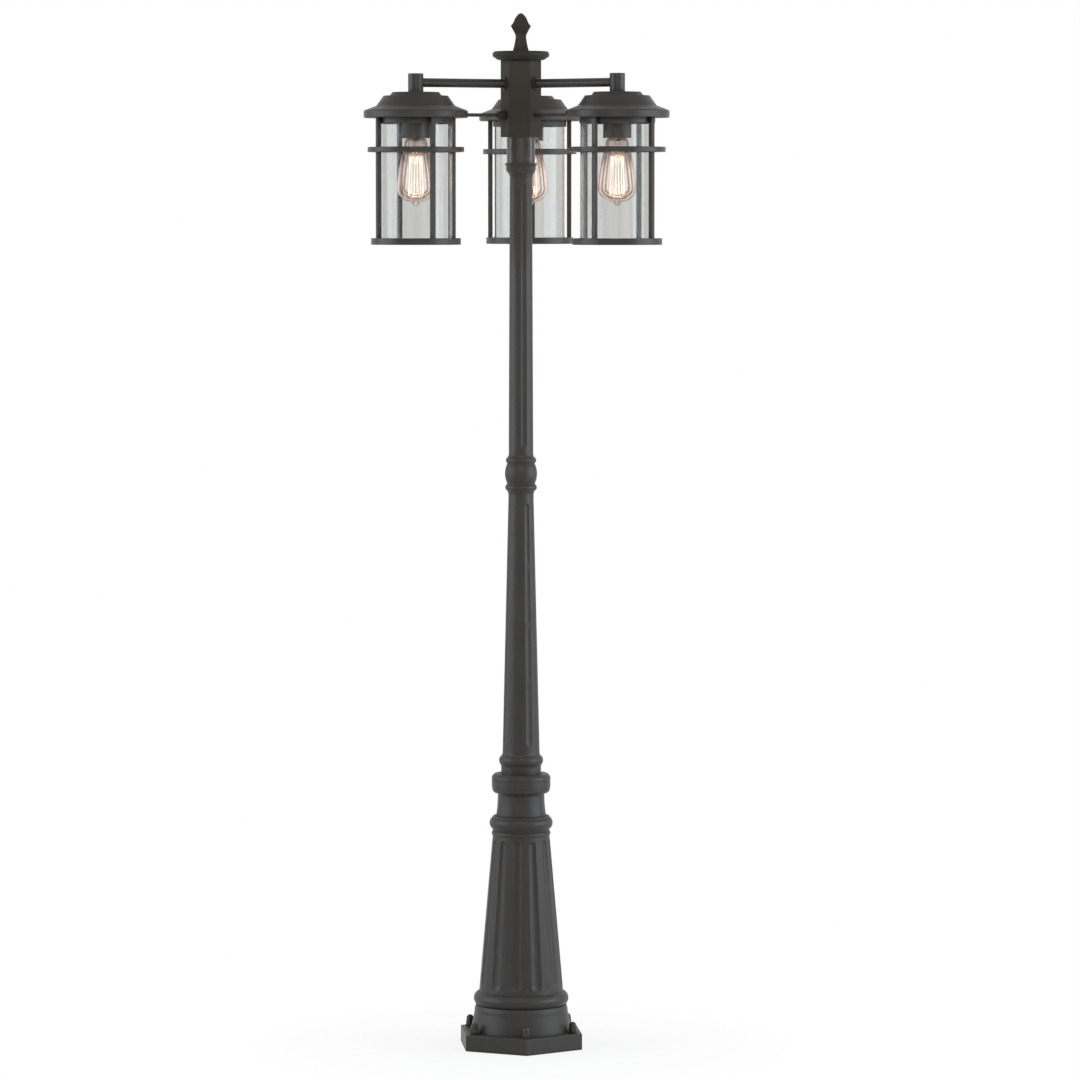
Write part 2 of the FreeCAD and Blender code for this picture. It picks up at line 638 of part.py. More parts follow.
def lantern_middle_ring():
    """Square section ring round the outside of the bars."""
    z0, z1 = MIDDLE_RING_Z
    inner = CAGE_R + BAR_SIZE / 2 + 0.15
    ring = turned((inner, z0), (MIDDLE_RING_R - 0.5, z0), (MIDDLE_RING_R, z0 + 0.5),
                  (MIDDLE_RING_R, z1 - 0.5), (MIDDLE_RING_R - 0.5, z1), (inner, z1))
    return moved(ring, ARM_L, 0)


def lantern_bottom_ring():
    """Flat ring under the bars, with a seat for the glass; open in the middle."""
    z0, z1 = BOTTOM_RING_Z
    seat_r = GLASS_R + 0.4
    ring = turned((BOTTOM_RING_BORE_R, z0), (BOTTOM_RING_R - 0.6, z0),
                  (BOTTOM_RING_R, z0 + 0.6), (BOTTOM_RING_R, z1 - 0.6), (BOTTOM_RING_R - 0.6, z1),
                  (seat_r, z1), (seat_r, z1 - GLASS_SEAT), (BOTTOM_RING_BORE_R, z1 - GLASS_SEAT))
    return moved(ring, ARM_L, 0)


def stem_nipple():
    """Threaded tube from the coupler through the hood into the lampholder."""
    return moved(tube(NIPPLE_R, NIPPLE_BORE_R, *NIPPLE_Z), ARM_L, 0)


def stem_nut():
    """Nut inside the socket cup that draws the lantern together."""
    top = CUP_CEILING - CUP_T
    return moved(hex_nut(15.0, NIPPLE_R + 0.05, top - 5, top), ARM_L, 0)


def socket_cup():
    """Drawn cup round the lampholder, with the flange that carries the pan."""
    inner = CUP_R - CUP_T
    cup = turned((CUP_R, CUP_BOTTOM), (CUP_R, PAN_Z - CUP_T), (CUP_FLANGE_R, PAN_Z - CUP_T),
                 (CUP_FLANGE_R, PAN_Z), (CUP_R, PAN_Z), (CUP_R, CUP_CEILING - 1.5),
                 (CUP_R - 1.5, CUP_CEILING), (NIPPLE_R + 0.2, CUP_CEILING),
                 (NIPPLE_R + 0.2, CUP_CEILING - CUP_T), (inner, CUP_CEILING - CUP_T),
                 (inner, CUP_BOTTOM))
    return moved(cup, ARM_L, 0)


def lampholder():
    """Moulded lampholder body: shell cavity below, wiring space and stem bore above."""
    z0, z1 = HOLDER_Z
    cavity = SHELL_R + 0.3
    body = turned((cavity, z0), (HOLDER_R - 0.8, z0), (HOLDER_R, z0 + 0.8), (HOLDER_R, z1 - 8),
                  (HOLDER_R - 7, z1), (NIPPLE_R + 0.1, z1), (NIPPLE_R + 0.1, z1 - 7),
                  (8.0, z1 - 7), (8.0, SHELL_Z[1] + 1), (cavity, SHELL_Z[1] + 1))
    return moved(body, ARM_L, 0)


def screw_shell():
    """Screw shell in the lampholder, and its centre contact."""
    shell = tube(SHELL_R, SHELL_BORE_R, *SHELL_Z)
    ceiling = SHELL_Z[1] + 1
    contact = turned((0, 1578.3), (4.0, 1578.3), (4.0, 1579.3), (1.8, 1579.3), (1.8, ceiling),
                     (8.6, ceiling), (8.6, ceiling + 0.8), (0, ceiling + 0.8))
    contact = contact.common(Part.makeCylinder(7.8, 40, Vector(0, 0, 1560)))
    return [moved(shell, ARM_L, 0), moved(contact, ARM_L, 0)]


# ---------------------------------------------------------------- bulb
def bulb_outline(inset):
    """The bulb's half outline from neck to tip, inset by a distance, as outline steps."""
    def p(radius, z, rise=0.0):
        """A point moved in by the inset, where the outward normal rises by some degrees."""
        a = math.radians(rise)
        return radius - inset * math.cos(a), z - inset * math.sin(a)
    return p(BULB_NECK_R, BULB_NECK_TOP), [
        p(BULB_NECK_R, 1550.8), p(12.0, 1549.3, 25) + p(13.8, 1548.3, 60),
        p(17.6, 1546.0, 50) + p(19.3, 1542.4, 10), p(20.3, 1534.0, 10) + p(22.4, 1525.4, 14),
        p(28.6, 1495.5, 10) + p(BULB_R, BULB_WIDEST), p(29.9, 1456.0, -28) + p(24.2, 1449.3, -50),
        p(16.8, 1444.0, -65) + p(8.0, 1442.2, -85), p(6.9, 1441.0, -30),
        p(5.4, 1438.2, -45) + p(3.2, 1436.0, -60), (0, BULB_TIP + inset)]


def bulb_glass():
    """Clear Edison bulb with a drawn-in neck and a sealed tip."""
    start, steps = bulb_outline(0.0)
    outer = turned((0, BULB_NECK_TOP), start, *steps)
    start, steps = bulb_outline(BULB_GLASS_T)
    inner = turned((0, BULB_NECK_TOP), start, *steps)
    return moved(outer.cut(inner), ARM_L, 0)


def bulb_cap():
    """Screw cap: rolled thread turns over a thin wall, closed above."""
    z0, z1 = BULB_CAP_Z
    root = BULB_CAP_R - 0.7
    inner = BULB_NECK_R + 0.2
    steps = [(BULB_CAP_R, z0), (BULB_CAP_R, z0 + 2.4), (root, z0 + 3.2)]
    for i in range(BULB_CAP_TURNS):
        z = z0 + 3.2 + i * THREAD_PITCH
        steps.append((BULB_CAP_R, z + THREAD_PITCH / 2, root, z + THREAD_PITCH))
    steps += [(root, z1 - 2.0), (9.6, z1), (9.2, z1 - 0.7), (inner, z1 - 2.6), (inner, z0)]
    return moved(turned((inner, z0), *steps), ARM_L, 0)


def bulb_contact():
    """Insulator and solder button on the cap's end."""
    z = BULB_CAP_Z[1] + GAP
    button = turned((0, z), (9.4, z), (6.4, z + 3.0), (4.3, z + 3.1), (4.1, z + 3.8),
                    (2.4, z + 4.3, 0, z + 4.4))
    return moved(button, ARM_L, 0)


def bulb_filament():
    """Glass stem with its wire, and the caged filament strung between two rings."""
    flare_r = BULB_NECK_R - BULB_GLASS_T
    stem = turned((0, 1449.6), (0.9, 1449.6), (0.9, 1520.0), (2.4, 1523.0), (2.6, 1534.0),
                  (4.4, 1546.0, flare_r, 1552.6), (flare_r, 1553.6), (0, 1553.6))
    pieces = []
    for radius, z in (FILAMENT_TOP, FILAMENT_BOTTOM):
        pieces.append(Part.makeTorus(radius, FILAMENT_R * 1.6, Vector(0, 0, z)))
        for i in range(3):
            spoke = Part.makeCylinder(FILAMENT_R, radius, Vector(0, 0, z), Vector(1, 0, 0))
            pieces.append(spun(spoke, 120 * i))
    run = Vector(FILAMENT_TOP[0] - FILAMENT_BOTTOM[0], 0, FILAMENT_TOP[1] - FILAMENT_BOTTOM[1])
    foot = Vector(FILAMENT_BOTTOM[0], 0, FILAMENT_BOTTOM[1])
    wire = Part.makeCylinder(FILAMENT_R, run.Length, foot, run)
    pieces += [spun(wire, 15 + 360 * i / FILAMENT_WIRES) for i in range(FILAMENT_WIRES)]
    return moved(stem.fuse(pieces), ARM_L, 0)


# ---------------------------------------------------------------- wiring
def rounded_tube(points, bends, radius):
    """A round tube along straight runs joined by tangent arcs; bends gives one radius
    for each inner point."""
    edges = []
    here = points[0]
    for before, corner, after, bend in zip(points, points[1:], points[2:], bends):
        into = (before - corner).normalize()
        out = (after - corner).normalize()
        half = into.getAngle(out) / 2
        setback = bend / math.tan(half)
        start = corner + into * setback
        end = corner + out * setback
        middle = corner + (into + out).normalize() * (bend / math.sin(half) - bend)
        edges.append(Part.LineSegment(here, start).toShape())
        edges.append(Part.Arc(start, middle, end).toShape())
        here = end
    edges.append(Part.LineSegment(here, points[-1]).toShape())
    path = Part.Wire(edges)
    section = Part.Wire(Part.makeCircle(radius, points[0], points[1] - points[0]))
    pipe = path.makePipeShell([section], True, False)
    length = sum(edge.Length for edge in edges)
    print("tube length", round(length, 1), "bends", bends,
          "volume ratio", round(pipe.Volume / (math.pi * radius ** 2 * length), 4))
    return pipe


def arm_lead():
    """Lead from the hub's splice, along the arm and down the stem to the lampholder."""
    top = HUB_SPLICE_Z + SPLICE_H
    points = [Vector(HUB_SPLICE_R, 0, top), Vector(HUB_SPLICE_R, 0, ARM_Z),
              Vector(ARM_L, 0, ARM_Z), Vector(ARM_L, 0, HOLDER_Z[1] - 9)]
    return rounded_tube(points, [LEAD_BEND_HUB, LEAD_BEND_ARM], LEAD_R)


def supply_cable():
    """Cable inside the tie tube, with its cores fanned out at both ends."""
    cable = Part.makeCylinder(CABLE_R, CABLE_Z[1] - CABLE_Z[0], Vector(0, 0, CABLE_Z[0]))
    cores = []
    low = Vector(0, 0, CABLE_Z[0] + 2)
    for side in (-1, 1):
        run = Vector(side * FOOT_SPLICE_X, 0, FOOT_SPLICE_Z + SPLICE_H) - low
        cores.append(Part.makeCylinder(TAIL_R, run.Length, low, run))
    high = Vector(0, 0, CABLE_Z[1] - 2)
    run = Vector(HUB_SPLICE_R, 0, HUB_SPLICE_Z) - high
    core = Part.makeCylinder(TAIL_R, run.Length, high, run)
    cores += on_arms(lambda: core)
    return cable.fuse(cores)


def wire_connectors():
    """In-line splices: one for each arm in the hub, two for the supply in the foot."""
    edge = 1.0
    body = turned((0, 0.8), (2.0, 0.8), (2.0, 0), (SPLICE_R - edge, 0), (SPLICE_R, edge),
                  (SPLICE_R, SPLICE_H - edge), (SPLICE_R - edge, SPLICE_H), (2.3, SPLICE_H),
                  (2.3, SPLICE_H - 0.8), (0, SPLICE_H - 0.8))
    placed = on_arms(lambda: moved(body, HUB_SPLICE_R, 0, HUB_SPLICE_Z))
    for side in (-1, 1):
        placed.append(moved(body, side * FOOT_SPLICE_X, 0, FOOT_SPLICE_Z))
    return placed


# ---------------------------------------------------------------- writing the nodes
def save(node, shape):
    """Write one node. A list becomes a group of separate solids."""
    solids = shape if isinstance(shape, list) else [shape]
    group = []
    for solid in solids:
        group += solid.Solids
    for solid in group:
        if not solid.isValid() or solid.Volume <= 0:
            print("BAD SOLID in", node)
    whole = group[0] if len(group) == 1 else Part.makeCompound(group)
    whole.exportStep("parts/" + node + ".step")
    box = whole.BoundBox
    print(f"{node}: {len(group)} solid, {whole.Volume / 1000:.1f} cm3, "
          f"z {box.ZMin:.1f} to {box.ZMax:.1f}")


def main():
    """Build and write every node."""
    os.makedirs("parts", exist_ok=True)
    save("base_foot", base_foot())
    save("base_column", base_column())
    save("neck_collar", neck_collar())
    save("lower_pole", lower_pole())
    save("middle_coupler", middle_coupler())
    save("upper_pole", upper_pole())
    save("pole_cup", pole_cup())
    save("fitter_sleeve", tube(SLEEVE_R, SLEEVE_BORE_R, CUP_TOP, SLEEVE_TOP))
    save("hub_body", hub_body())
    save("centre_tube", tube(TIE_R, TIE_BORE_R, *TIE_Z))
    save("centre_tube_nuts", centre_tube_nuts())
    save("cap_crossbar", cap_crossbar())
    save("crossbar_screws", crossbar_screws())
    save("hub_cap", hub_cap())
    save("finial", finial())
    save("finial_bush", finial_bush())
    save("anchor_washers", anchor_washers())
    save("anchor_nuts", anchor_nuts())
    save("arm_tubes", on_arms(arm_tube))
    save("arm_flanges", on_arms(arm_flange))
    save("arm_locknuts", on_arms(arm_locknut))
    save("arm_couplers", on_arms(arm_coupler))
    save("steady_rods", on_arms(steady_rod))
    save("rod_ferrule", rod_ferrule())
    save("stem_nipples", on_arms(stem_nipple))
    save("stem_nuts", on_arms(stem_nut))
    save("socket_cups", on_arms(socket_cup))
    save("gallery_pans", on_arms(gallery_pan))
    save("lampholders", on_arms(lampholder))
    save("screw_shells", [spun(piece, angle) for angle in ARM_ANGLES.values()
                          for piece in screw_shell()])
    save("supply_cable", supply_cable())
    save("arm_leads", on_arms(arm_lead))
    save("wire_connectors", wire_connectors())
    lantern_pieces = {
        "hood": lantern_hood(), "glass": lantern_glass(), "cage_bars": lantern_cage_bars(),
        "middle_ring": lantern_middle_ring(), "bottom_ring": lantern_bottom_ring(),
        "bulb_glass": bulb_glass(), "bulb_cap": bulb_cap(), "bulb_filament": bulb_filament(),
        "bulb_contact": bulb_contact()}
    for side, angle in ARM_ANGLES.items():
        for name, shape in lantern_pieces.items():
            solids = shape if isinstance(shape, list) else [shape]
            save(side + "_" + name, [spun(solid, angle) for solid in solids])


main()
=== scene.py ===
"""Looks of the triple head lamp post.

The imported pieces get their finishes, and the glass, bulbs and filaments are built as
surfaces in place of their plain solids. Metres, +Z up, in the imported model's frame.
"""

import json
import logging
import math
from dataclasses import dataclass
from enum import Enum
from typing import Callable, Optional, Sequence, Tuple

import bpy
import numpy as np
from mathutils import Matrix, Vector


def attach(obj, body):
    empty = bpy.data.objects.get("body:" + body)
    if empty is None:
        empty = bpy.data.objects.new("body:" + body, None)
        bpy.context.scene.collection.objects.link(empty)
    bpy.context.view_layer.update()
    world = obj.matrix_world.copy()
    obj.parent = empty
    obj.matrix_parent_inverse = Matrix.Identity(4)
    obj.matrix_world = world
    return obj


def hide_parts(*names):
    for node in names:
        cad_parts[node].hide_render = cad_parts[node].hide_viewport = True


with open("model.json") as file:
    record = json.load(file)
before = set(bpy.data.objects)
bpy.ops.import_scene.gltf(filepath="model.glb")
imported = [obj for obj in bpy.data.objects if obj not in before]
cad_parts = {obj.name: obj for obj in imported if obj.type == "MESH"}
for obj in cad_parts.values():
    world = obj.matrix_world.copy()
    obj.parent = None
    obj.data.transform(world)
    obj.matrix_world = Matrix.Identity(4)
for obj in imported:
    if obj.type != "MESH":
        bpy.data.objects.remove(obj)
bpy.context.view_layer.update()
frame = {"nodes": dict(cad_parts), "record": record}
MM = 0.001
TURN = 2.0 * math.pi
NEAR_ZERO = 1e-6
POST = "post"

log = logging.getLogger("lamp_post")

Pair = Tuple[float, float]
Triple = Tuple[float, float, float]
Outline = Tuple[Pair, ...]
Colour = Triple
Piece = bpy.types.Object
Node = bpy.types.Node
Socket = bpy.types.NodeSocket
Reshape = Callable[[np.ndarray, np.ndarray, np.ndarray], np.ndarray]


class Side(Enum):
    """The three lanterns, each with its arm's direction from +X in degrees."""

    LEFT = 210.0
    RIGHT = 330.0
    REAR = 90.0

    @property
    def label(self) -> str:
        """The word that the lantern's pieces start with."""
        return self.name.lower()


# ---------------------------------------------------------------- meshes
def zipped(*parts: object) -> np.ndarray:
    """Numbers and arrays, spread to one shape and put side by side on a last axis."""
    return np.stack(np.broadcast_arrays(*parts), axis=-1)


def polar(r: object, angle: object, z: object) -> np.ndarray:
    """Points at a radius and an angle from the upright axis, and at a height."""
    return zipped(r * np.cos(angle), r * np.sin(angle), z)


def in_metres(points: np.ndarray, centre: np.ndarray) -> np.ndarray:
    """(n, 3) points in millimetres about an axis, moved to the axis at (x, y) metres."""
    return points * MM + np.append(centre, 0.0)


def grid_quads(rows: int, columns: int, close_rows: bool, first: int = 0) -> np.ndarray:
    """Four-cornered faces of a grid whose columns close on themselves.

    Args:
        rows: Number of rings.
        columns: Number of points in each ring.
        close_rows: Whether the last ring joins the first.
        first: Index of the grid's first point.

    Returns:
        (faces, 4) indices: each face joins ring i to ring i + 1 between columns j, j + 1.
    """
    i, j = np.meshgrid(np.arange(rows if close_rows else rows - 1), np.arange(columns),
                       indexing="ij")
    up, along = (i + 1) % rows, (j + 1) % columns
    corners = ((i, j), (i, along), (up, along), (up, j))
    quads = zipped(*(row * columns + column for row, column in corners))
    return quads.reshape(-1, 4) + first


def mesh_piece(name: str, points: np.ndarray, quads: np.ndarray,
               triangles: Optional[np.ndarray] = None) -> Piece:
    """A smooth closed piece. Where the sum of its triangles' triple products, six times
    the volume inside, is negative, its faces are turned over to point outwards.

    Args:
        name: Name of the piece.
        points: (n, 3) corners in metres.
        quads: (m, 4) faces.
        triangles: (k, 3) further faces, as at a pole.

    Returns:
        The new object, at the origin.
    """
    if triangles is None:
        triangles = np.empty((0, 3), int)
    split = np.concatenate([quads[:, [0, 1, 2]], quads[:, [0, 2, 3]], triangles])
    a, b, c = (points[split[:, i]] for i in range(3))
    if np.einsum("ij,ij->i", a, np.cross(b, c)).sum() < 0:
        quads, triangles = quads[:, ::-1], triangles[:, ::-1]
    mesh = bpy.data.meshes.new(name)
    mesh.from_pydata(points, [], [*quads.tolist(), *triangles.tolist()])
    mesh.validate()
    mesh.polygons.foreach_set("use_smooth", np.ones(len(mesh.polygons), bool))
    piece = bpy.data.objects.new(name, mesh)
    bpy.context.scene.collection.objects.link(piece)
    return piece


def store_around(piece: Piece, centre: np.ndarray) -> None:
    """Give each corner the attribute "around": its direction from an upright axis and
    its height, which a pattern reads without a seam.

    Args:
        piece: The piece.
        centre: (x, y) of the axis.
    """
    mesh = piece.data
    points = np.empty(len(mesh.vertices) * 3, np.float32)
    mesh.vertices.foreach_get("co", points)
    points = points.reshape(-1, 3)
    flat = points[:, :2] - centre
    reach = np.maximum(np.hypot(flat[:, 0], flat[:, 1]), NEAR_ZERO)[:, None]
    values = np.concatenate([flat / reach, points[:, 2:3]], axis=1).astype(np.float32)
    mesh.attributes.new("around", "FLOAT_VECTOR", "POINT").data.foreach_set(
        "vector", values.ravel())


def smooth_line(knots: Sequence[Pair], per_span: int) -> np.ndarray:
    """A smooth line through knots, by cubic Hermite spans whose slope at a knot is half
    the step from the knot before to the knot after.

    Args:
        knots: (r, z) pairs.
        per_span: Points in each span.

    Returns:
        (n, 2) points that start and end on the outer knots.
    """
    p = np.asarray(knots, float)
    slope = np.gradient(p, axis=0)
    t = np.linspace(0.0, 1.0, per_span, endpoint=False)[None, :, None]
    a, b, sa, sb = p[:-1, None], p[1:, None], slope[:-1, None], slope[1:, None]
    line = (a * (2 * t ** 3 - 3 * t ** 2 + 1) + sa * (t ** 3 - 2 * t ** 2 + t)
            + b * (3 * t ** 2 - 2 * t ** 3) + sb * (t ** 3 - t ** 2))
    return np.concatenate([line.reshape(-1, 2), p[-1:]])


def arc_line(start: Pair, steps: Sequence[Sequence[float]],
             per_arc: int) -> np.ndarray:
    """A line of straight runs and round arcs. An arc's centre is the point as far from
    its start as from its middle and its end.

    Args:
        start: First (r, z).
        steps: (r, z) of a straight run's end, or (r, z, r, z) of an arc's middle and end.
        per_arc: Points in each arc.

    Returns:
        (n, 2) points.
    """
    line = [np.asarray(start, float)[None]]
    for step in steps:
        a, rest = line[-1][-1], np.asarray(step, float)
        if len(rest) == 2:
            line.append(rest[None])
            continue
        b, c = rest[:2], rest[2:]
        centre = np.linalg.solve(2 * np.stack([b - a, c - a]), [b @ b - a @ a, c @ c - a @ a])
        first, middle, last = (math.atan2(p[1] - centre[1], p[0] - centre[0])
                               for p in (a, b, c))
        to_middle = (middle - first + math.pi) % TURN - math.pi
        to_last = to_middle + (last - middle + math.pi) % TURN - math.pi
        turn = first + to_last * np.arange(1, per_arc + 1) / per_arc
        line.append(centre + np.hypot(*(a - centre)) * zipped(np.cos(turn), np.sin(turn)))
    return np.concatenate(line)


def inset_line(line: np.ndarray, distance: float) -> np.ndarray:
    """The line moved to its left by a distance, along its normal at each point.

    Args:
        line: (n, 2) points.
        distance: How far.

    Returns:
        (n, 2) points.
    """
    step = np.gradient(line, axis=0)
    step /= np.linalg.norm(step, axis=1)[:, None]
    return line + distance * zipped(-step[:, 1], step[:, 0])


def spun_piece(name: str, profile: np.ndarray, centre: np.ndarray, segments: int,
               radius: Optional[Reshape] = None) -> Piece:
    """A closed piece spun from a profile: the point (r, z) goes to angle a as
    (r cos a, r sin a, z). A profile whose ends lie on the axis gets a pole at each end,
    and any other is a ring whose last point joins its first. No point crosses the axis.

    Args:
        name: Name of the piece.
        profile: (n, 2) radius and height in millimetres.
        centre: (x, y) of the axis in metres.
        segments: Number of steps round the axis.
        radius: Optional function of radius, height and angle that reshapes the radius.

    Returns:
        The new piece.
    """
    profile = zipped(np.maximum(profile[:, 0], 0.0), profile[:, 1])
    poles = max(profile[0, 0], profile[-1, 0]) < NEAR_ZERO
    body = profile[1:-1] if poles else profile
    angle = np.linspace(0.0, TURN, segments, endpoint=False)[None, :]
    r = np.broadcast_to(body[:, 0:1], (len(body), segments))
    z = np.broadcast_to(body[:, 1:2], r.shape)
    if radius is not None:
        r = radius(r, z, angle)
    grid = polar(r, angle, z).reshape(-1, 3)
    quads = grid_quads(len(body), segments, not poles)
    fans = None
    if poles:
        low, high, last = len(grid), len(grid) + 1, (len(body) - 1) * segments
        j = np.arange(segments)
        k = (j + 1) % segments
        fans = np.concatenate([zipped(low, k, j), zipped(high, j + last, k + last)])
        grid = np.concatenate([grid, zipped(0.0, 0.0, profile[[0, -1], 1])])
    return mesh_piece(name, in_metres(grid, centre), quads, fans)


def wire_grid(path: np.ndarray, outward: np.ndarray, radius: float, sides: int,
              taper: float = 1.0) -> np.ndarray:
    """Rings of a round wire carried along a path: at each point the ring lies in the
    plane of the outward direction and of its cross product with the path's direction.

    Args:
        path: (n, 3) points.
        outward: (n, 3) directions that don't run along the path.
        radius: Wire radius.
        sides: Points in a ring.
        taper: The radius at both ends as a share of the full one.

    Returns:
        (n, sides, 3) points.
    """
    run = np.gradient(path, axis=0)
    run /= np.linalg.norm(run, axis=1)[:, None]
    side = outward - np.einsum("ij,ij->i", outward, run)[:, None] * run
    side /= np.linalg.norm(side, axis=1)[:, None]
    other = np.cross(run, side)
    reach = np.full(len(path), radius)
    reach[[0, -1]] *= taper
    a = np.linspace(0.0, TURN, sides, endpoint=False)[None, :, None]
    return path[:, None] + reach[:, None, None] * (
        side[:, None] * np.cos(a) + other[:, None] * np.sin(a))


def wires_piece(name: str, grids: Sequence[np.ndarray],
                centre: np.ndarray) -> Piece:
    """One piece from several wires, whose ends are closed by fans.

    Args:
        name: Name of the piece.
        grids: (n, sides, 3) rings in millimetres, about the axis.
        centre: (x, y) of the axis in metres.

    Returns:
        The new piece.
    """
    points, quads, fans = [], [], []
    first = 0
    for grid in grids:
        rows, sides = grid.shape[:2]
        ring = np.arange(sides)
        after = (ring + 1) % sides
        cap, last = first + rows * sides, first + (rows - 1) * sides
        points += [grid.reshape(-1, 3), grid[[0, -1]].mean(axis=1)]
        quads.append(grid_quads(rows, sides, False, first))
        fans += [zipped(cap, first + after, first + ring),
                 zipped(cap + 1, last + ring, last + after)]
        first = cap + 2
    return mesh_piece(name, in_metres(np.concatenate(points), centre),
                      np.concatenate(quads), np.concatenate(fans))


# ---------------------------------------------------------------- shader building
class Nodes:
    """Adds and joins the nodes of one material or node group."""

    def __init__(self, tree: bpy.types.NodeTree) -> None:
        """Take the tree that nodes are added to."""
        self.tree = tree

    def add(self, kind: str, **inputs: object) -> Node:
        """Add a node.

        Args:
            kind: Blender's name of the node, without ShaderNode.
            inputs: Socket values or sockets to join, by input name with _ for a space,
                or by position as i0, i1. Names that start with p_ are properties.

        Returns:
            The node.
        """
        node = self.tree.nodes.new("ShaderNode" + kind)
        for key, value in inputs.items():
            if key.startswith("p_"):
                setattr(node, key[2:], value)
        for key, value in inputs.items():
            if key.startswith("p_"):
                continue
            numbered = key[0] == "i" and key[1:].isdigit()
            place = int(key[1:]) if numbered else key.replace("_", " ")
            self.put(node.inputs[place], value)
        return node

    def put(self, socket: Socket, value: object) -> None:
        """Join a socket to an input, or set the input to a value.

        Args:
            socket: The input.
            value: The socket or the value.
        """
        if isinstance(value, Socket):
            self.tree.links.new(value, socket)
        else:
            socket.default_value = value

    def math(self, operation: str, *values: object, clamp: bool = False) -> Socket:
        """A Math node.

        Args:
            operation: Blender's name of the operation.
            values: Sockets or numbers.
            clamp: Whether the result is held between 0 and 1.

        Returns:
            The result.
        """
        sockets = {f"i{i}": value for i, value in enumerate(values)}
        return self.add("Math", p_operation=operation, p_use_clamp=clamp,
                        **sockets).outputs[0]

    def times(self, first: object, second: object, clamp: bool = False) -> Socket:
        """The product of two sockets or numbers."""
        return self.math("MULTIPLY", first, second, clamp=clamp)

    def shifted(self, value: Socket, by: float, base: object,
                clamp: bool = False) -> Socket:
        """The base plus the value times a number."""
        return self.math("MULTIPLY_ADD", value, by, base, clamp=clamp)

    def mix(self, share: object, first: object, second: object) -> Socket:
        """A Mix node for colours.

        Args:
            share: How much of the second colour.
            first: Socket, or (red, green, blue).
            second: Socket, or (red, green, blue).

        Returns:
            The colour between them.
        """
        node = self.add("Mix", p_data_type="RGBA")
        for index, value in ((0, share), (6, first), (7, second)):
            colour = isinstance(value, tuple)
            self.put(node.inputs[index], (*value, 1.0) if colour else value)
        return node.outputs[2]

    def skin(self, colour: Socket, rough: Socket, bump: Pair, height: Socket,
             **more: object) -> Node:
        """A Principled shader over a bumped surface.

        Args:
            colour: Base colour.
            rough: Roughness.
            bump: The bump's strength, and its height in metres.
            height: The bump's share of that height.
            more: Further inputs by name.

        Returns:
            The shader.
        """
        normal = self.add("Bump", Strength=bump[0], Distance=bump[1], Height=height)
        return self.add("BsdfPrincipled", Base_Color=colour, Roughness=rough,
                        Normal=normal.outputs[0], **more)

    def place(self) -> Socket:
        """The point on the piece, in its own axes."""
        return self.add("TexCoord").outputs["Object"]

    def height(self, vector: Socket) -> Socket:
        """The third part of a vector."""
        return self.add("SeparateXYZ", i0=vector).outputs[2]

    def seen(self) -> Socket:
        """Tell rays that look from rays that light.

        Returns:
            1 for rays from the camera, off a mirror or through glass, and 0 for light.
        """
        path = self.add("LightPath").outputs
        return self.math("MAXIMUM", path["Is Camera Ray"], self.math(
            "MAXIMUM", path["Is Glossy Ray"], path["Is Transmission Ray"]))

    def noise(self, vector: Socket, scale: float, detail: float = 3.0,
              roughness: float = 0.5) -> Socket:
        """Noise between 0 and 1."""
        return self.add("TexNoise", Vector=vector, Scale=scale, Detail=detail,
                        Roughness=roughness).outputs[0]

    def remap(self, value: Socket, low: float, high: float, to_low: float = 0.0,
              to_high: float = 1.0) -> Socket:
        """A value carried from one range to another and held there."""
        node = self.add("MapRange", i0=value, i1=low, i2=high, i3=to_low, i4=to_high)
        return node.outputs[0]


class SharedGroup:
    """A node group made once and placed in each material that needs the effect."""

    def __init__(self, wire: Callable[[Nodes, Node], Sequence[Socket]],
                 outputs: Sequence[str], numbers: Sequence[str] = (),
                 vectors: Sequence[str] = ("Place",)) -> None:
        """Make the group, named after the function that wires it.

        Args:
            wire: Function that adds the nodes and returns one socket for each output.
            outputs: Names of the float outputs.
            numbers: Names of the float inputs.
            vectors: Names of the vector inputs.
        """
        self.tree = bpy.data.node_groups.new(wire.__name__, "ShaderNodeTree")
        for labels, way, kind in ((vectors, "INPUT", "Vector"), (numbers, "INPUT", "Float"),
                                  (outputs, "OUTPUT", "Float")):
            for label in labels:
                self.tree.interface.new_socket(name=label, in_out=way,
                                               socket_type="NodeSocket" + kind)
        nodes = Nodes(self.tree)
        entry = self.tree.nodes.new("NodeGroupInput")
        leave = self.tree.nodes.new("NodeGroupOutput")
        for socket, end in zip(wire(nodes, entry), leave.inputs):
            nodes.put(end, socket)

    def place(self, nodes: Nodes, **inputs: object) -> bpy.types.bpy_prop_collection:
        """Place the group in a material, with values for its inputs by name.

        Args:
            nodes: The material's nodes.
            inputs: Values or sockets, by input name with _ for a space.

        Returns:
            The group's outputs.
        """
        node = nodes.tree.nodes.new("ShaderNodeGroup")
        node.node_tree = self.tree
        for key, value in inputs.items():
            nodes.put(node.inputs[key.replace("_", " ")], value)
        return node.outputs


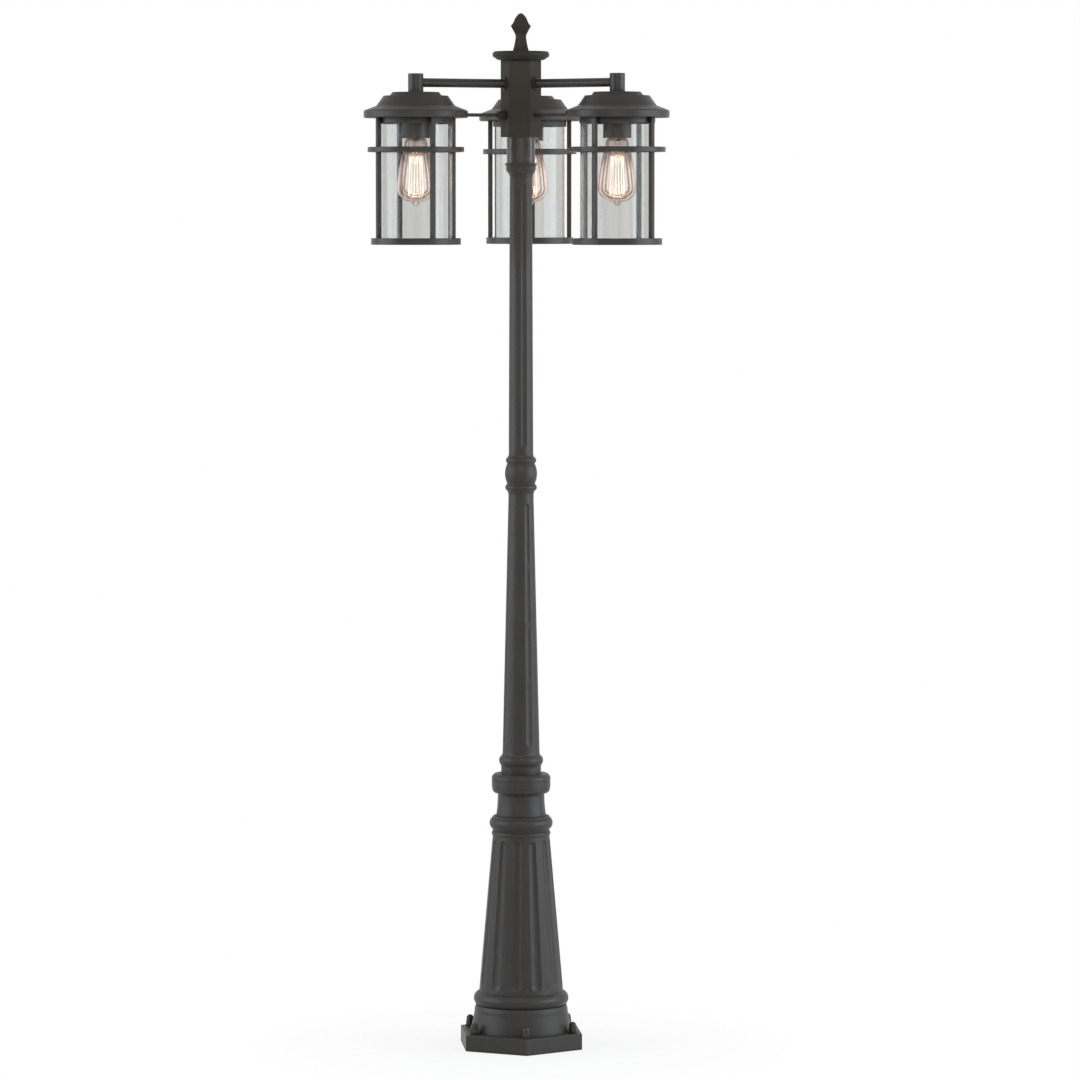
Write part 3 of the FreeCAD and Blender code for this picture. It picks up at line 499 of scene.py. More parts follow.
def coat_grain(nodes: Nodes, entry: Node) -> Sequence[Socket]:
    """Powder coat's surface: fine orange peel over a slow casting swell, and mottling.
    The height is peel depth times fine noise plus swell depth times coarse noise.

    Args:
        nodes: The group's nodes.
        entry: The node that holds the group's inputs.

    Returns:
        The height, the mottling and the specks.
    """
    place = entry.outputs["Place"]
    peel = nodes.noise(place, 1.0, 2.0)
    nodes.put(peel.node.inputs["Scale"], entry.outputs["Peel Scale"])
    swell = nodes.noise(place, 38.0, 2.0)
    height = nodes.math("ADD", nodes.times(peel, entry.outputs["Peel Depth"]),
                        nodes.times(swell, entry.outputs["Swell Depth"]))
    mottle = nodes.remap(nodes.noise(place, 16.0, 5.0, 0.62), 0.34, 0.66)
    speck = nodes.remap(nodes.noise(place, 900.0, 2.0), 0.60, 0.74)
    return height, mottle, speck


def edge_wear(nodes: Nodes, entry: Node) -> Sequence[Socket]:
    """Rubbed edges: how far a rounded normal turns from the face's own normal, broken up
    by noise.

    Args:
        nodes: The group's nodes.
        entry: The node that holds the group's inputs.

    Returns:
        The mask.
    """
    rounded = nodes.add("Bevel", p_samples=4, Radius=entry.outputs["Radius"]).outputs[0]
    own = nodes.add("NewGeometry").outputs["Normal"]
    dot = nodes.add("VectorMath", p_operation="DOT_PRODUCT", i0=rounded, i1=own)
    turned = nodes.remap(nodes.math("SUBTRACT", 1.0, dot.outputs["Value"]), 0.015, 0.16)
    broken = nodes.remap(nodes.noise(entry.outputs["Place"], 130.0, 4.0, 0.65), 0.36, 0.68)
    return (nodes.times(nodes.times(turned, broken), entry.outputs["Amount"], clamp=True),)


def recess_shade_grime(nodes: Nodes, entry: Node) -> Sequence[Socket]:
    """Painted shade with dirt in grooves and inner corners: how much of the near
    surroundings hides the sky, broken up by noise.

    Args:
        nodes: The group's nodes.
        entry: The node that holds the group's inputs.

    Returns:
        The mask.
    """
    open_share = nodes.add("AmbientOcclusion", p_samples=6,
                           Distance=entry.outputs["Reach"]).outputs["AO"]
    held = nodes.remap(open_share, 0.88, 0.45)
    cloud = nodes.remap(nodes.noise(entry.outputs["Place"], 75.0, 3.0), 0.30, 0.60, 0.75, 1.0)
    return (nodes.times(nodes.times(held, cloud), entry.outputs["Amount"], clamp=True),)


def settled_dust(nodes: Nodes, entry: Node) -> Sequence[Socket]:
    """Dust and splash: on faces that look up, and in a band above the ground, broken up
    by noise and by drips drawn out along the height.

    Args:
        nodes: The group's nodes.
        entry: The node that holds the group's inputs.

    Returns:
        The mask.
    """
    place = entry.outputs["Place"]
    level = nodes.remap(nodes.height(nodes.add("NewGeometry").outputs["Normal"]), 0.25, 0.95)
    low = nodes.remap(nodes.height(place), 0.16, 0.0)
    cloud = nodes.remap(nodes.noise(place, 60.0, 5.0, 0.6), 0.30, 0.72)
    drawn = nodes.add("VectorMath", p_operation="MULTIPLY", i0=place, i1=(90.0, 90.0, 5.0))
    drips = nodes.remap(nodes.noise(drawn.outputs[0], 1.0, 3.0), 0.44, 0.70)
    splash = nodes.times(low, nodes.math("ADD", 0.35, cloud))
    total = nodes.math("ADD", nodes.times(level, cloud),
                       nodes.shifted(splash, 0.7, nodes.times(drips, 0.22)))
    return (nodes.times(total, entry.outputs["Amount"], clamp=True),)


def drawn_lines(nodes: Nodes, entry: Node) -> Sequence[Socket]:
    """Streaks along one direction: noise on a place stretched by the Stretch vector.

    Args:
        nodes: The group's nodes.
        entry: The node that holds the group's inputs.

    Returns:
        The fine lines and the broad streaks.
    """
    stretched = nodes.add("VectorMath", p_operation="MULTIPLY", i0=entry.outputs["Place"],
                          i1=entry.outputs["Stretch"])
    lines = nodes.noise(stretched.outputs[0], 1.0, 4.0, 0.6)
    broad = nodes.noise(stretched.outputs[0], 0.23, 2.0, 0.5)
    return lines, nodes.remap(broad, 0.32, 0.68)


class Effects:
    """The effects that several finishes share."""

    def __init__(self) -> None:
        """Make each shared group once."""
        self.grain = SharedGroup(coat_grain, ("Height", "Mottle", "Speck"),
                                 ("Peel Scale", "Peel Depth", "Swell Depth"))
        self.wear = SharedGroup(edge_wear, ("Mask",), ("Radius", "Amount"))
        # Painted shade with dirt, darker where the near surroundings hide the sky.
        self.shade_grime = SharedGroup(recess_shade_grime, ("Mask",), ("Reach", "Amount"))
        self.dust = SharedGroup(settled_dust, ("Mask",), ("Amount",))
        self.lines = SharedGroup(drawn_lines, ("Lines", "Broad"), (), ("Place", "Stretch"))


# ---------------------------------------------------------------- finishes
def new_material(name: str) -> Tuple[bpy.types.Material, Nodes, Node]:
    """An empty node material.

    Args:
        name: Name of the material.

    Returns:
        The material, its nodes and its output node.
    """
    material = bpy.data.materials.new(name)
    material.use_nodes = True
    material.node_tree.nodes.clear()
    nodes = Nodes(material.node_tree)
    return material, nodes, nodes.add("OutputMaterial")


@dataclass(frozen=True)
class Finish:
    """What every finish has: a name, and the nodes that make its material."""

    name: str

    def wire(self, nodes: Nodes, effects: Effects) -> Sequence[Socket]:
        """Add the finish's nodes.

        Args:
            nodes: The material's nodes.
            effects: The shared groups.

        Returns:
            The surface and, for a clear body, its volume.
        """
        raise NotImplementedError

    def material(self, effects: Effects) -> bpy.types.Material:
        """The finish as a material.

        Args:
            effects: The shared groups.

        Returns:
            The material.
        """
        material, nodes, out = new_material(self.name)
        for socket, end in zip(self.wire(nodes, effects), out.inputs):
            nodes.put(end, socket)
        return material


@dataclass(frozen=True)
class CoatFinish(Finish):
    """Dark bronze powder coat. Rougher on castings, tighter on tube and spun sheet."""

    colour: Colour = (0.0330, 0.0305, 0.0280)
    warm_colour: Colour = (0.0410, 0.0350, 0.0305)
    worn_colour: Colour = (0.080, 0.069, 0.059)
    dust_colour: Colour = (0.066, 0.063, 0.059)
    # The next colour is painted shade with dirt, in grooves and inner corners.
    shade_grime_colour: Colour = (0.0065, 0.0060, 0.0056)
    speck_share: float = 0.22
    roughness: float = 0.42
    mottle_rough: float = 0.09
    dust_rough: float = 0.45
    shade_grime_rough: float = 0.30
    wear_rough: float = -0.14
    shine: float = 0.20
    peel_scale: float = 1100.0
    peel_depth: float = 0.35
    swell_depth: float = 0.6
    bump: Pair = (0.35, 0.00025)
    wear: float = 0.5
    wear_radius: float = 0.0009
    shade_grime: float = 0.85
    shade_grime_reach: float = 0.008
    dust: float = 0.08

    def wire(self, nodes: Nodes, effects: Effects) -> Sequence[Socket]:
        """Mottled coat, lighter where edges are rubbed and where dust lies, and darker
        in its grooves and inner corners by painted shade with dirt.

        Args:
            nodes: The material's nodes.
            effects: The shared groups.

        Returns:
            The surface.
        """
        place = nodes.place()
        grain = effects.grain.place(nodes, Place=place, Peel_Scale=self.peel_scale,
                                    Peel_Depth=self.peel_depth,
                                    Swell_Depth=self.swell_depth)
        wear = effects.wear.place(nodes, Place=place, Radius=self.wear_radius,
                                  Amount=self.wear)["Mask"]
        # Painted shade with dirt: darker in grooves and inner corners.
        shade_grime = effects.shade_grime.place(nodes, Place=place, Reach=self.shade_grime_reach,
                                    Amount=self.shade_grime)["Mask"]
        dust = effects.dust.place(nodes, Place=place, Amount=self.dust)["Mask"]
        colour = nodes.mix(grain["Mottle"], self.colour, self.warm_colour)
        for share, other in ((nodes.times(grain["Speck"], self.speck_share),
                              self.worn_colour), (wear, self.worn_colour),
                             (dust, self.dust_colour), (shade_grime, self.shade_grime_colour)):
            colour = nodes.mix(share, colour, other)
        rough = nodes.shifted(grain["Mottle"], self.mottle_rough,
                              self.roughness - self.mottle_rough / 2)
        rough = nodes.shifted(dust, self.dust_rough, rough)
        rough = nodes.shifted(shade_grime, self.shade_grime_rough, rough)
        rough = nodes.shifted(wear, self.wear_rough, rough, clamp=True)
        return nodes.skin(colour, rough, self.bump, grain["Height"],
                          Specular_IOR_Level=self.shine).outputs[:1]


@dataclass(frozen=True)
class BareMetalFinish(Finish):
    """Plain steel or brass, with tool lines round or along it."""

    colour: Colour
    tarnish: Colour
    roughness: float = 0.34
    line_rough: float = 0.22
    tarnish_rough: float = 0.12
    wear_radius: float = 0.0005
    wear: float = 0.6
    bump: Pair = (0.25, 0.00008)
    stretch: Triple = (40.0, 40.0, 2400.0)

    def wire(self, nodes: Nodes, effects: Effects) -> Sequence[Socket]:
        """Metal with fine tool lines and patches of tarnish.

        Args:
            nodes: The material's nodes.
            effects: The shared groups.

        Returns:
            The surface.
        """
        place = nodes.place()
        lines = effects.lines.place(nodes, Place=place, Stretch=self.stretch)["Lines"]
        cloud = nodes.remap(nodes.noise(place, 140.0, 4.0, 0.6), 0.38, 0.70)
        wear = effects.wear.place(nodes, Place=place, Radius=self.wear_radius,
                                  Amount=self.wear)["Mask"]
        colour = nodes.mix(wear, nodes.mix(cloud, self.colour, self.tarnish), self.colour)
        rough = nodes.shifted(lines, self.line_rough, self.roughness - self.line_rough / 2)
        rough = nodes.shifted(cloud, self.tarnish_rough, rough, clamp=True)
        return nodes.skin(colour, rough, self.bump, lines, Metallic=1.0).outputs[:1]


@dataclass(frozen=True)
class MouldedFinish(Finish):
    """Moulded plastic, rubber or vitreous insulator."""

    colour: Colour
    pale_colour: Colour
    roughness: float
    bloom: float = 0.35
    bloom_rough: float = 0.12
    grain_scale: float = 1500.0
    grain_depth: float = 0.6
    swell_depth: float = 0.2
    wear_radius: float = 0.0006
    wear: float = 0.35
    bump: Pair = (0.2, 0.0001)

    def wire(self, nodes: Nodes, effects: Effects) -> Sequence[Socket]:
        """Moulded surface with fine grain, scuffed edges and a slight bloom.

        Args:
            nodes: The material's nodes.
            effects: The shared groups.

        Returns:
            The surface.
        """
        place = nodes.place()
        grain = effects.grain.place(nodes, Place=place, Peel_Scale=self.grain_scale,
                                    Peel_Depth=self.grain_depth,
                                    Swell_Depth=self.swell_depth)
        wear = effects.wear.place(nodes, Place=place, Radius=self.wear_radius,
                                  Amount=self.wear)["Mask"]
        colour = nodes.mix(nodes.times(grain["Mottle"], self.bloom), self.colour,
                           self.pale_colour)
        colour = nodes.mix(wear, colour, self.pale_colour)
        rough = nodes.shifted(grain["Mottle"], self.bloom_rough,
                              self.roughness - self.bloom_rough / 2, clamp=True)
        return nodes.skin(colour, rough, self.bump, grain["Height"]).outputs[:1]


@dataclass(frozen=True)
class GlassFinish(Finish):
    """Clear glass with drawn streaks. It lets lamps through, so that what stands inside
    it is lit."""

    clear: Colour
    streak: Colour
    ior: float = 1.22
    roughness: float = 0.012
    smear: float = 4.0
    bump: Pair = (0.04, 0.0004)
    stretch: Triple = (17.0, 17.0, 0.08)
    streak_share: float = 0.8
    body_colour: Colour = (0.0, 0.0, 0.0)
    body_density: float = 10.0

    def painted_wall_shade(self, nodes: Nodes, around: Socket, colour: Socket) -> Socket:
        """The wall's colour, which plain glass leaves as it is, with no painted shade."""
        return colour

    def glow(self, nodes: Nodes, around: Socket) -> Optional[Socket]:
        """The wall's painted glow, which plain glass hasn't."""
        return None

    def wire(self, nodes: Nodes, effects: Effects) -> Sequence[Socket]:
        """Glass whose tint and fine waviness follow streaks along its height, and whose
        body absorbs light, so that its contours are darker. One crossing of a wall's
        surface takes the square root of the tint.

        Args:
            nodes: The material's nodes.
            effects: The shared groups.

        Returns:
            The surface and the volume.
        """
        around = nodes.add("Attribute", p_attribute_name="around").outputs["Vector"]
        lines = effects.lines.place(nodes, Place=around, Stretch=self.stretch)
        streaks = nodes.times(lines["Broad"], self.streak_share)
        # The bulb glass paints shade into this colour.
        colour = self.painted_wall_shade(nodes, around, nodes.mix(streaks, self.clear, self.streak))
        smear = nodes.remap(lines["Lines"], 0.45, 0.75, self.roughness,
                            self.roughness * self.smear)
        shader = nodes.skin(colour, smear, self.bump, lines["Lines"], IOR=self.ior,
                            Transmission_Weight=1.0)
        # The bulb glass's inner wall gets a painted glow.
        glow = self.glow(nodes, around)
        if glow is not None:
            nodes.put(shader.inputs["Emission Color"], glow)
            nodes.put(shader.inputs["Emission Strength"], 1.0)
        crossing = tuple(math.sqrt(part) for part in self.clear)
        through = nodes.add("BsdfTransparent", Color=(*crossing, 1.0))
        surface = nodes.add("MixShader", i0=nodes.add("LightPath").outputs["Is Shadow Ray"],
                            i1=shader.outputs[0], i2=through.outputs[0])
        body = nodes.add("VolumeAbsorption", Color=(*self.body_colour, 1.0),
                         Density=self.body_density)
        return surface.outputs[0], body.outputs[0]


@dataclass(frozen=True)
class BulbGlassFinish(GlassFinish):
    """Blown glass round a lit filament, with painted shade: brown at its contour and along
    a line inside it, where the thick glass bends light, with a painted dark band over the
    filament, and a painted glow on the inner wall. A pair of numbers is a hump's middle
    and spread, or a ramp's ends: of the glass's facing, from 0 where it looks at the
    camera to 1 at its contour, or of its height in metres."""

    # The dark colour, at the contour, the line, the shoulder and the band, is painted shade.
    dark: Colour = (0.30, 0.20, 0.15)
    rim: Pair = (0.66, 0.93)
    rim_shade_share: float = 0.75
    line: Pair = (0.22, 0.034)
    line_shade_share: float = 0.88
    side: Pair = (0.17, 0.30)
    shoulder: Pair = (1.517, 0.013)
    shoulder_shade_share: float = 0.42
    shade_band_z: Pair = (1.5225, 0.0034)
    shade_band_share: float = 0.45
    neck_z: Pair = (1.528, 1.536)
    neck_share: float = 0.22
    # The glow on the inner wall is painted light.
    painted_glow_colour: Colour = (0.165, 0.122, 0.108)
    painted_glow_z: Pair = (1.482, 0.032)
    crescent: Pair = (0.48, 0.16)
    crescent_gain: float = 1.5

    @staticmethod
    def hump(nodes: Nodes, value: Socket, middle: float, spread: float) -> Socket:
        """e to minus the square of the distance from the middle in spreads."""
        off = nodes.math("DIVIDE", nodes.math("SUBTRACT", value, middle), spread)
        return nodes.math("POWER", math.e, nodes.times(nodes.times(off, off), -1.0))

    def line_shade_mask(self, nodes: Nodes, facing: Socket) -> Socket:
        """The painted dark line inside the contour, where thick glass bends light."""
        return nodes.times(self.hump(nodes, facing, *self.line), self.line_shade_share)

    def painted_wall_shade(self, nodes: Nodes, around: Socket, colour: Socket) -> Socket:
        """The wall's colour with painted shade: brown at the contour and along the line,
        over the whole side of the shoulder, in a painted dark band over the filament and,
        weakly, in the neck.

        Args:
            nodes: The material's nodes.
            around: Direction from the axis, and height.
            colour: The plain glass's colour.

        Returns:
            The colour.
        """
        facing = nodes.add("LayerWeight", Blend=0.5).outputs["Facing"]
        height = nodes.height(around)
        side = nodes.remap(facing, *self.side, 0.0, self.shoulder_shade_share)
        share = nodes.remap(facing, *self.rim, 0.0, self.rim_shade_share)
        for other in (self.line_shade_mask(nodes, facing),
                      nodes.times(side, self.hump(nodes, height, *self.shoulder)),
                      nodes.times(self.hump(nodes, height, *self.shade_band_z), self.shade_band_share),
                      nodes.remap(height, *self.neck_z, 0.0, self.neck_share)):
            share = nodes.math("MAXIMUM", share, other)
        return nodes.mix(share, colour, self.dark)

    def glow(self, nodes: Nodes, around: Socket) -> Optional[Socket]:
        """A painted glow of the filament on the inner wall: strongest beside the filament
        and between the line and the contour, and gone on the line.

        Args:
            nodes: The material's nodes.
            around: Direction from the axis, and height.

        Returns:
            The glow's colour.
        """
        inner = nodes.add("Attribute", p_attribute_name="inner").outputs["Fac"]
        facing = nodes.add("LayerWeight", Blend=0.5).outputs["Facing"]
        bright = nodes.shifted(self.hump(nodes, facing, *self.crescent),
                               self.crescent_gain, 1.0)
        clear = nodes.math("SUBTRACT", 1.0, self.line_shade_mask(nodes, facing))
        near = self.hump(nodes, nodes.height(around), *self.painted_glow_z)
        share = nodes.times(nodes.times(inner, clear), nodes.times(bright, near))
        return nodes.add("VectorMath", p_operation="SCALE", i0=self.painted_glow_colour,
                         Scale=share).outputs[0]


@dataclass(frozen=True)
class GlowingWireFinish(Finish):
    """Filament wire at working heat, cooler towards its hooks."""

    hot: Colour = (1.0, 0.93, 0.89)
    cool: Colour = (1.0, 0.74, 0.58)
    greys: Tuple[Colour, Colour] = ((0.30, 0.27, 0.25), (0.16, 0.14, 0.13))
    strength: float = 1.7
    middle_z: float = 1.484
    reach: Pair = (0.0204, 0.034)

    def wire(self, nodes: Nodes, effects: Effects) -> Sequence[Socket]:
        """Glow that fades from the middle of the filament to its ends.

        Args:
            nodes: The material's nodes.
            effects: The shared groups.

        Returns:
            The surface.
        """
        place = nodes.place()
        off = nodes.math("ABSOLUTE", nodes.math("SUBTRACT", nodes.height(place),
                                                self.middle_z))
        coil = nodes.noise(place, 2600.0, 1.0)
        shader = nodes.add("BsdfPrincipled", Base_Color=nodes.mix(coil, *self.greys),
                           Roughness=nodes.shifted(coil, 0.3, 0.25), Metallic=1.0,
                           Emission_Color=nodes.mix(nodes.remap(off, *self.reach),
                                                    self.hot, self.cool),
                           Emission_Strength=self.strength)
        return shader.outputs[:1]


FINISHES = (
    CoatFinish("cast_dark_coat"),
    CoatFinish("metal_dark_coat", roughness=0.36, swell_depth=0.15, peel_depth=0.25,
               wear_radius=0.0006),
    CoatFinish("spun_dark_coat", roughness=0.40, swell_depth=0.25),
    CoatFinish("polished_dark_coat", roughness=0.21, shine=0.36, swell_depth=0.05,
               peel_depth=0.08, dust=0.02),
    CoatFinish("cap_dark_coat", roughness=0.45, shine=0.08, dust=0.03),
    # The hub's coat is the same paint made lighter: painted light on its faces.
    CoatFinish("hub_lightened_coat", (0.0540, 0.0480, 0.0420), (0.0580, 0.0510, 0.0445),
               roughness=0.50, shine=0.03, dust=0.02),
    BareMetalFinish("plain_steel", (0.56, 0.56, 0.57), (0.36, 0.35, 0.34)),
    BareMetalFinish("plain_brass", (0.76, 0.58, 0.29), (0.44, 0.31, 0.15)),
    BareMetalFinish("bulb_cap_metal", (0.72, 0.62, 0.42), (0.50, 0.40, 0.25), 0.28),
    MouldedFinish("moulded_holder", (0.022, 0.020, 0.019), (0.060, 0.056, 0.052), 0.46),
    MouldedFinish("cable_sheath", (0.016, 0.016, 0.017), (0.050, 0.050, 0.050), 0.60),
    MouldedFinish("splice_shell", (0.60, 0.20, 0.04), (0.72, 0.38, 0.18), 0.32),
    MouldedFinish("bulb_insulator", (0.018, 0.018, 0.021), (0.045, 0.045, 0.050), 0.16),
    GlassFinish("lantern_glass", (0.795, 0.790, 0.778), (0.725, 0.735, 0.722),
                bump=(0.02, 0.0004)),
    BulbGlassFinish("bulb_glass", (0.985, 0.955, 0.935), (0.965, 0.925, 0.895), ior=1.30,
                    stretch=(3.0, 3.0, 30.0), body_colour=(0.33, 0.11, 0.0),
                    body_density=60.0),
    GlassFinish("stem_glass", (0.97, 0.96, 0.94), (0.94, 0.92, 0.89), ior=1.30,
                stretch=(3.0, 3.0, 60.0)),
    GlowingWireFinish("filament_wire"),
    BareMetalFinish("support_wire", (0.50, 0.47, 0.43), (0.30, 0.27, 0.24), 0.36))


class Finishes:
    """The material of every finish: one for each slot of the record, and a few that
    single pieces need."""

    def __init__(self) -> None:
        """Make the shared groups and the materials."""
        effects = Effects()
        self.materials = {kind.name: kind.material(effects) for kind in FINISHES}

    def dress(self, piece: Piece, finish: str) -> None:
        """Give a piece one finish, in every slot that it has.

        Args:
            piece: The piece.
            finish: Name of the finish.
        """
        if not piece.material_slots:
            piece.data.materials.append(self.materials[finish])
        for place in piece.material_slots:
            place.material = self.materials[finish]

    def fit(self, piece: Piece, finish: str, body: str, slot: str,
            *nodes: str) -> None:
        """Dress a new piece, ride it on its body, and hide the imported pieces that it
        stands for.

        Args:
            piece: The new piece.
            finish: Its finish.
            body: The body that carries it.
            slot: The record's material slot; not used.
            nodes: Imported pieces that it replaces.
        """
        self.dress(piece, finish)
        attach(piece, body)
        if nodes:
            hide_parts(*nodes)
        log.info("%s rides on %s, %d corners", piece.name, body, len(piece.data.vertices))


# ---------------------------------------------------------------- pieces
def dress_packed(finishes: Finishes) -> None:
    """Give each packed casting, tube, fixing and wire the finish of its slot, or the one
    that it alone has.

    Args:
        finishes: The materials.
    """
    # The hub gets the lighter copy of the coat, which paints light on it.
    special = {"fitter_sleeve": "polished_dark_coat", "hub_body": "hub_lightened_coat",
               "hub_cap": "cap_dark_coat", "finial": "cap_dark_coat"}
    for row in frame["record"]["subparts"]:
        finish = special.get(row["node"], row["material_slot"])
        finishes.dress(frame["nodes"][row["node"]], finish)
        log.info("%s dressed in %s", row["node"], finish)


@dataclass
class Bulb:
    """A clear bulb with a cage filament. Millimetres, about the lantern's axis. Outlines
    are lists of (radius, height)."""

    side: Side
    centre: np.ndarray
    finishes: Finishes
    glass_start: Pair = (11.28, 1560.0)
    glass_steps: Tuple[Tuple[float, ...], ...] = (
        (11.28, 1550.8), (12.0, 1549.3, 13.8, 1548.28), (17.6, 1545.98, 19.28, 1542.4),
        (20.28, 1534.0, 22.38, 1525.4), (28.58, 1495.5, 31.98, 1467.0),
        (29.88, 1456.0, 24.2, 1449.32), (16.8, 1444.02, 8.0, 1442.22), (6.9, 1441.0),
        (5.4, 1438.22, 3.2, 1436.02), (1.7, 1435.4, 0.0, 1435.22))
    cap_foot: Outline = ((12.2, 1551.0), (12.9, 1551.1), (13.0, 1551.5), (13.0, 1553.3))
    cap_head: Outline = (
        (12.2, 1571.9), (10.6, 1572.9), (9.6, 1573.3), (9.2, 1573.0), (9.2, 1572.2),
        (10.4, 1571.4), (11.45, 1570.2), (11.45, 1560.0), (11.45, 1551.6))
    insulator: Outline = ((0.0, 1573.62), (7.0, 1573.62), (9.3, 1573.7), (8.6, 1574.8),
                          (6.5, 1576.3), (4.6, 1576.6), (0.0, 1576.6))
    button: Outline = ((0.0, 1576.7), (3.6, 1576.7), (4.1, 1577.0), (3.4, 1577.6),
                       (1.8, 1577.9), (0.0, 1577.98))
    segments: int = 96
    per_arc: int = 12
    per_span: int = 5
    wall: float = 0.9
    thread_pitch: float = 3.63
    thread_depth: float = 0.7
    thread_z: Pair = (1554.2, 1571.0)
    thread_ends: Pair = (1.4, 1.0)
    cap_r: float = 13.0
    hairpins: int = 7
    cage_turn: float = 0.3
    filament_r: float = 0.23
    filament_low: Pair = (12.9, 1451.4)
    filament_high: Pair = (10.2, 1517.0)
    per_run: int = 26
    loose_end: float = 0.12
    hook_turn: float = 0.92
    hook_r: float = 0.14
    hook_from: float = 0.9
    hook_past: float = 0.4
    hook_rise: Triple = (0.2, 1.6, 3.4)
    curl_from: float = 0.82
    lead_r: float = 0.3
    lead_top: Pair = (2.0, 1536.0)
    lead_bend: float = 1.6
    press_z: float = 1531.0
    press_spread: float = 6.0
    press_share: float = 0.45
    stem_top: float = 1553.6

    @property
    def body(self) -> str:
        """The body that turns with the bulb."""
        return self.side.label + "_bulb"

    def glass(self) -> None:
        """The blown glass: a smooth outline from the neck to the sealed tip, and the
        same line inset by the wall, spun as one closed shell."""
        outer = arc_line(self.glass_start, self.glass_steps, self.per_arc)[::-1]
        inner = inset_line(outer, self.wall)[::-1]
        inner[-1] = (0.0, outer[0, 1] + self.wall)
        profile = np.concatenate([outer, inner])
        piece = spun_piece(self.body + "_blown_glass", profile, self.centre, self.segments)
        store_around(piece, self.centre)
        rows = (np.arange(1, len(profile) - 1) >= len(outer)).astype(np.float32)
        piece.data.attributes.new("inner", "FLOAT", "POINT").data.foreach_set(
            "value", np.concatenate([np.repeat(rows, self.segments), [0.0, 1.0]]))
        self.finishes.fit(piece, "bulb_glass", self.body, "bulb_glass", self.body + "_glass")

    def cap(self) -> None:
        """The screw cap: the radius falls from the crest by half the thread's depth
        times one less the cosine of the height in turns less the angle in turns."""
        low, high = self.thread_z
        start, end = self.thread_ends
        outer = np.concatenate([
            self.cap_foot, zipped(self.cap_r, np.linspace(low, high, 60)), self.cap_head])

        def threaded(r: np.ndarray, z: np.ndarray, angle: np.ndarray) -> np.ndarray:
            """Radius of the rolled thread.

            Args:
                r: Radius.
                z: Height.
                angle: Angle about the axis.

            Returns:
                The new radius.
            """
            phase = TURN * (z - low) / self.thread_pitch - angle
            rise = np.clip((z - low) / start, 0, 1) * np.clip((high - z) / end, 0, 1)
            rolled = (z >= low) & (z <= high) & (r > self.cap_r - 0.5)
            return r - np.where(rolled, rise * self.thread_depth * (1 - np.cos(phase)) / 2, 0)

        piece = spun_piece(self.body + "_screw_cap", outer, self.centre, self.segments,
                           threaded)
        self.finishes.fit(piece, "bulb_cap_metal", self.body, "bulb_cap_metal",
                          self.body + "_cap")

    def contact(self) -> None:
        """The vitreous insulator and the solder button on the cap's end."""
        body = self.side.label + "_bulb_contact"
        piece = spun_piece(body + "_insulator", smooth_line(self.insulator, self.per_span),
                           self.centre, self.segments // 2)
        self.finishes.fit(piece, "bulb_insulator", body, "bulb_insulator", body)
        piece = spun_piece(body + "_button", smooth_line(self.button, self.per_span),
                           self.centre, self.segments // 3)
        self.finishes.fit(piece, "support_wire", body, "bulb_cap_metal")

    def filament(self) -> None:
        """One wire that goes up and down a cone between the hooks: its height is a cosine
        of the run number, and its angle advances mostly where it passes over a hook."""
        runs = 2 * self.hairpins
        v = np.linspace(self.loose_end, runs - self.loose_end, runs * self.per_run)
        share = (1 - np.cos(math.pi * v)) / 2
        (r_low, z_low), (r_high, z_high) = self.filament_low, self.filament_high
        angle = TURN / runs * (v + self.hook_turn * np.sin(TURN * v) / TURN) + self.cage_turn
        path = polar(r_low + (r_high - r_low) * share, angle,
                     z_low + (z_high - z_low) * share)
        grid = wire_grid(path, polar(1.0, angle, 0.0), self.filament_r, 6, 0.6)
        piece = wires_piece(self.body + "_filament_wire", [grid], self.centre)
        self.finishes.fit(piece, "filament_wire", self.body, "filament_wire",
                          self.body + "_filament")

    def supports(self) -> None:
        """Hooks from the stem to each hairpin, and the two wires that feed the filament.
        A hook runs out along a shallow parabola and curls over at its end."""
        grids = []
        t = np.linspace(0.0, 1.0, 14)
        start, bow, curl = self.hook_rise

        def run(r: np.ndarray, turn: float, z: np.ndarray, radius: float,
                sides: int) -> None:
            """Add a wire that keeps to one direction from the axis.

            Args:
                r: Radii of its points.
                turn: Its direction.
                z: Heights of its points.
                radius: Wire radius.
                sides: Points in a ring.
            """
            angle = turn + self.cage_turn
            across = np.broadcast_to(polar(1.0, angle + TURN / 4, 0.0), (len(t), 3))
            grids.append(wire_grid(polar(r, angle, z), across, radius, sides))

        for (r_end, z_end), sign, first in ((self.filament_low, -1.0, 0.0),
                                            (self.filament_high, 1.0, 0.5)):
            r = self.hook_from + (r_end + self.hook_past - self.hook_from) * t
            z = z_end + sign * (start + bow * t * t
                                - curl * np.clip(t - self.curl_from, 0, 1))
            for i in range(self.hairpins):
                run(r, TURN / self.hairpins * (i + first), z, self.hook_r, 5)
        r_top, z_top = self.lead_top
        r_end, z_end = self.filament_high
        for turn in (-TURN / 4, TURN / 4):
            run(r_top + (r_end - r_top) * t ** self.lead_bend, turn,
                z_top - (z_top - z_end) * t, self.lead_r, 8)
        piece = wires_piece(self.body + "_hooks", grids, self.centre)
        self.finishes.fit(piece, "support_wire", self.body, "filament_wire")

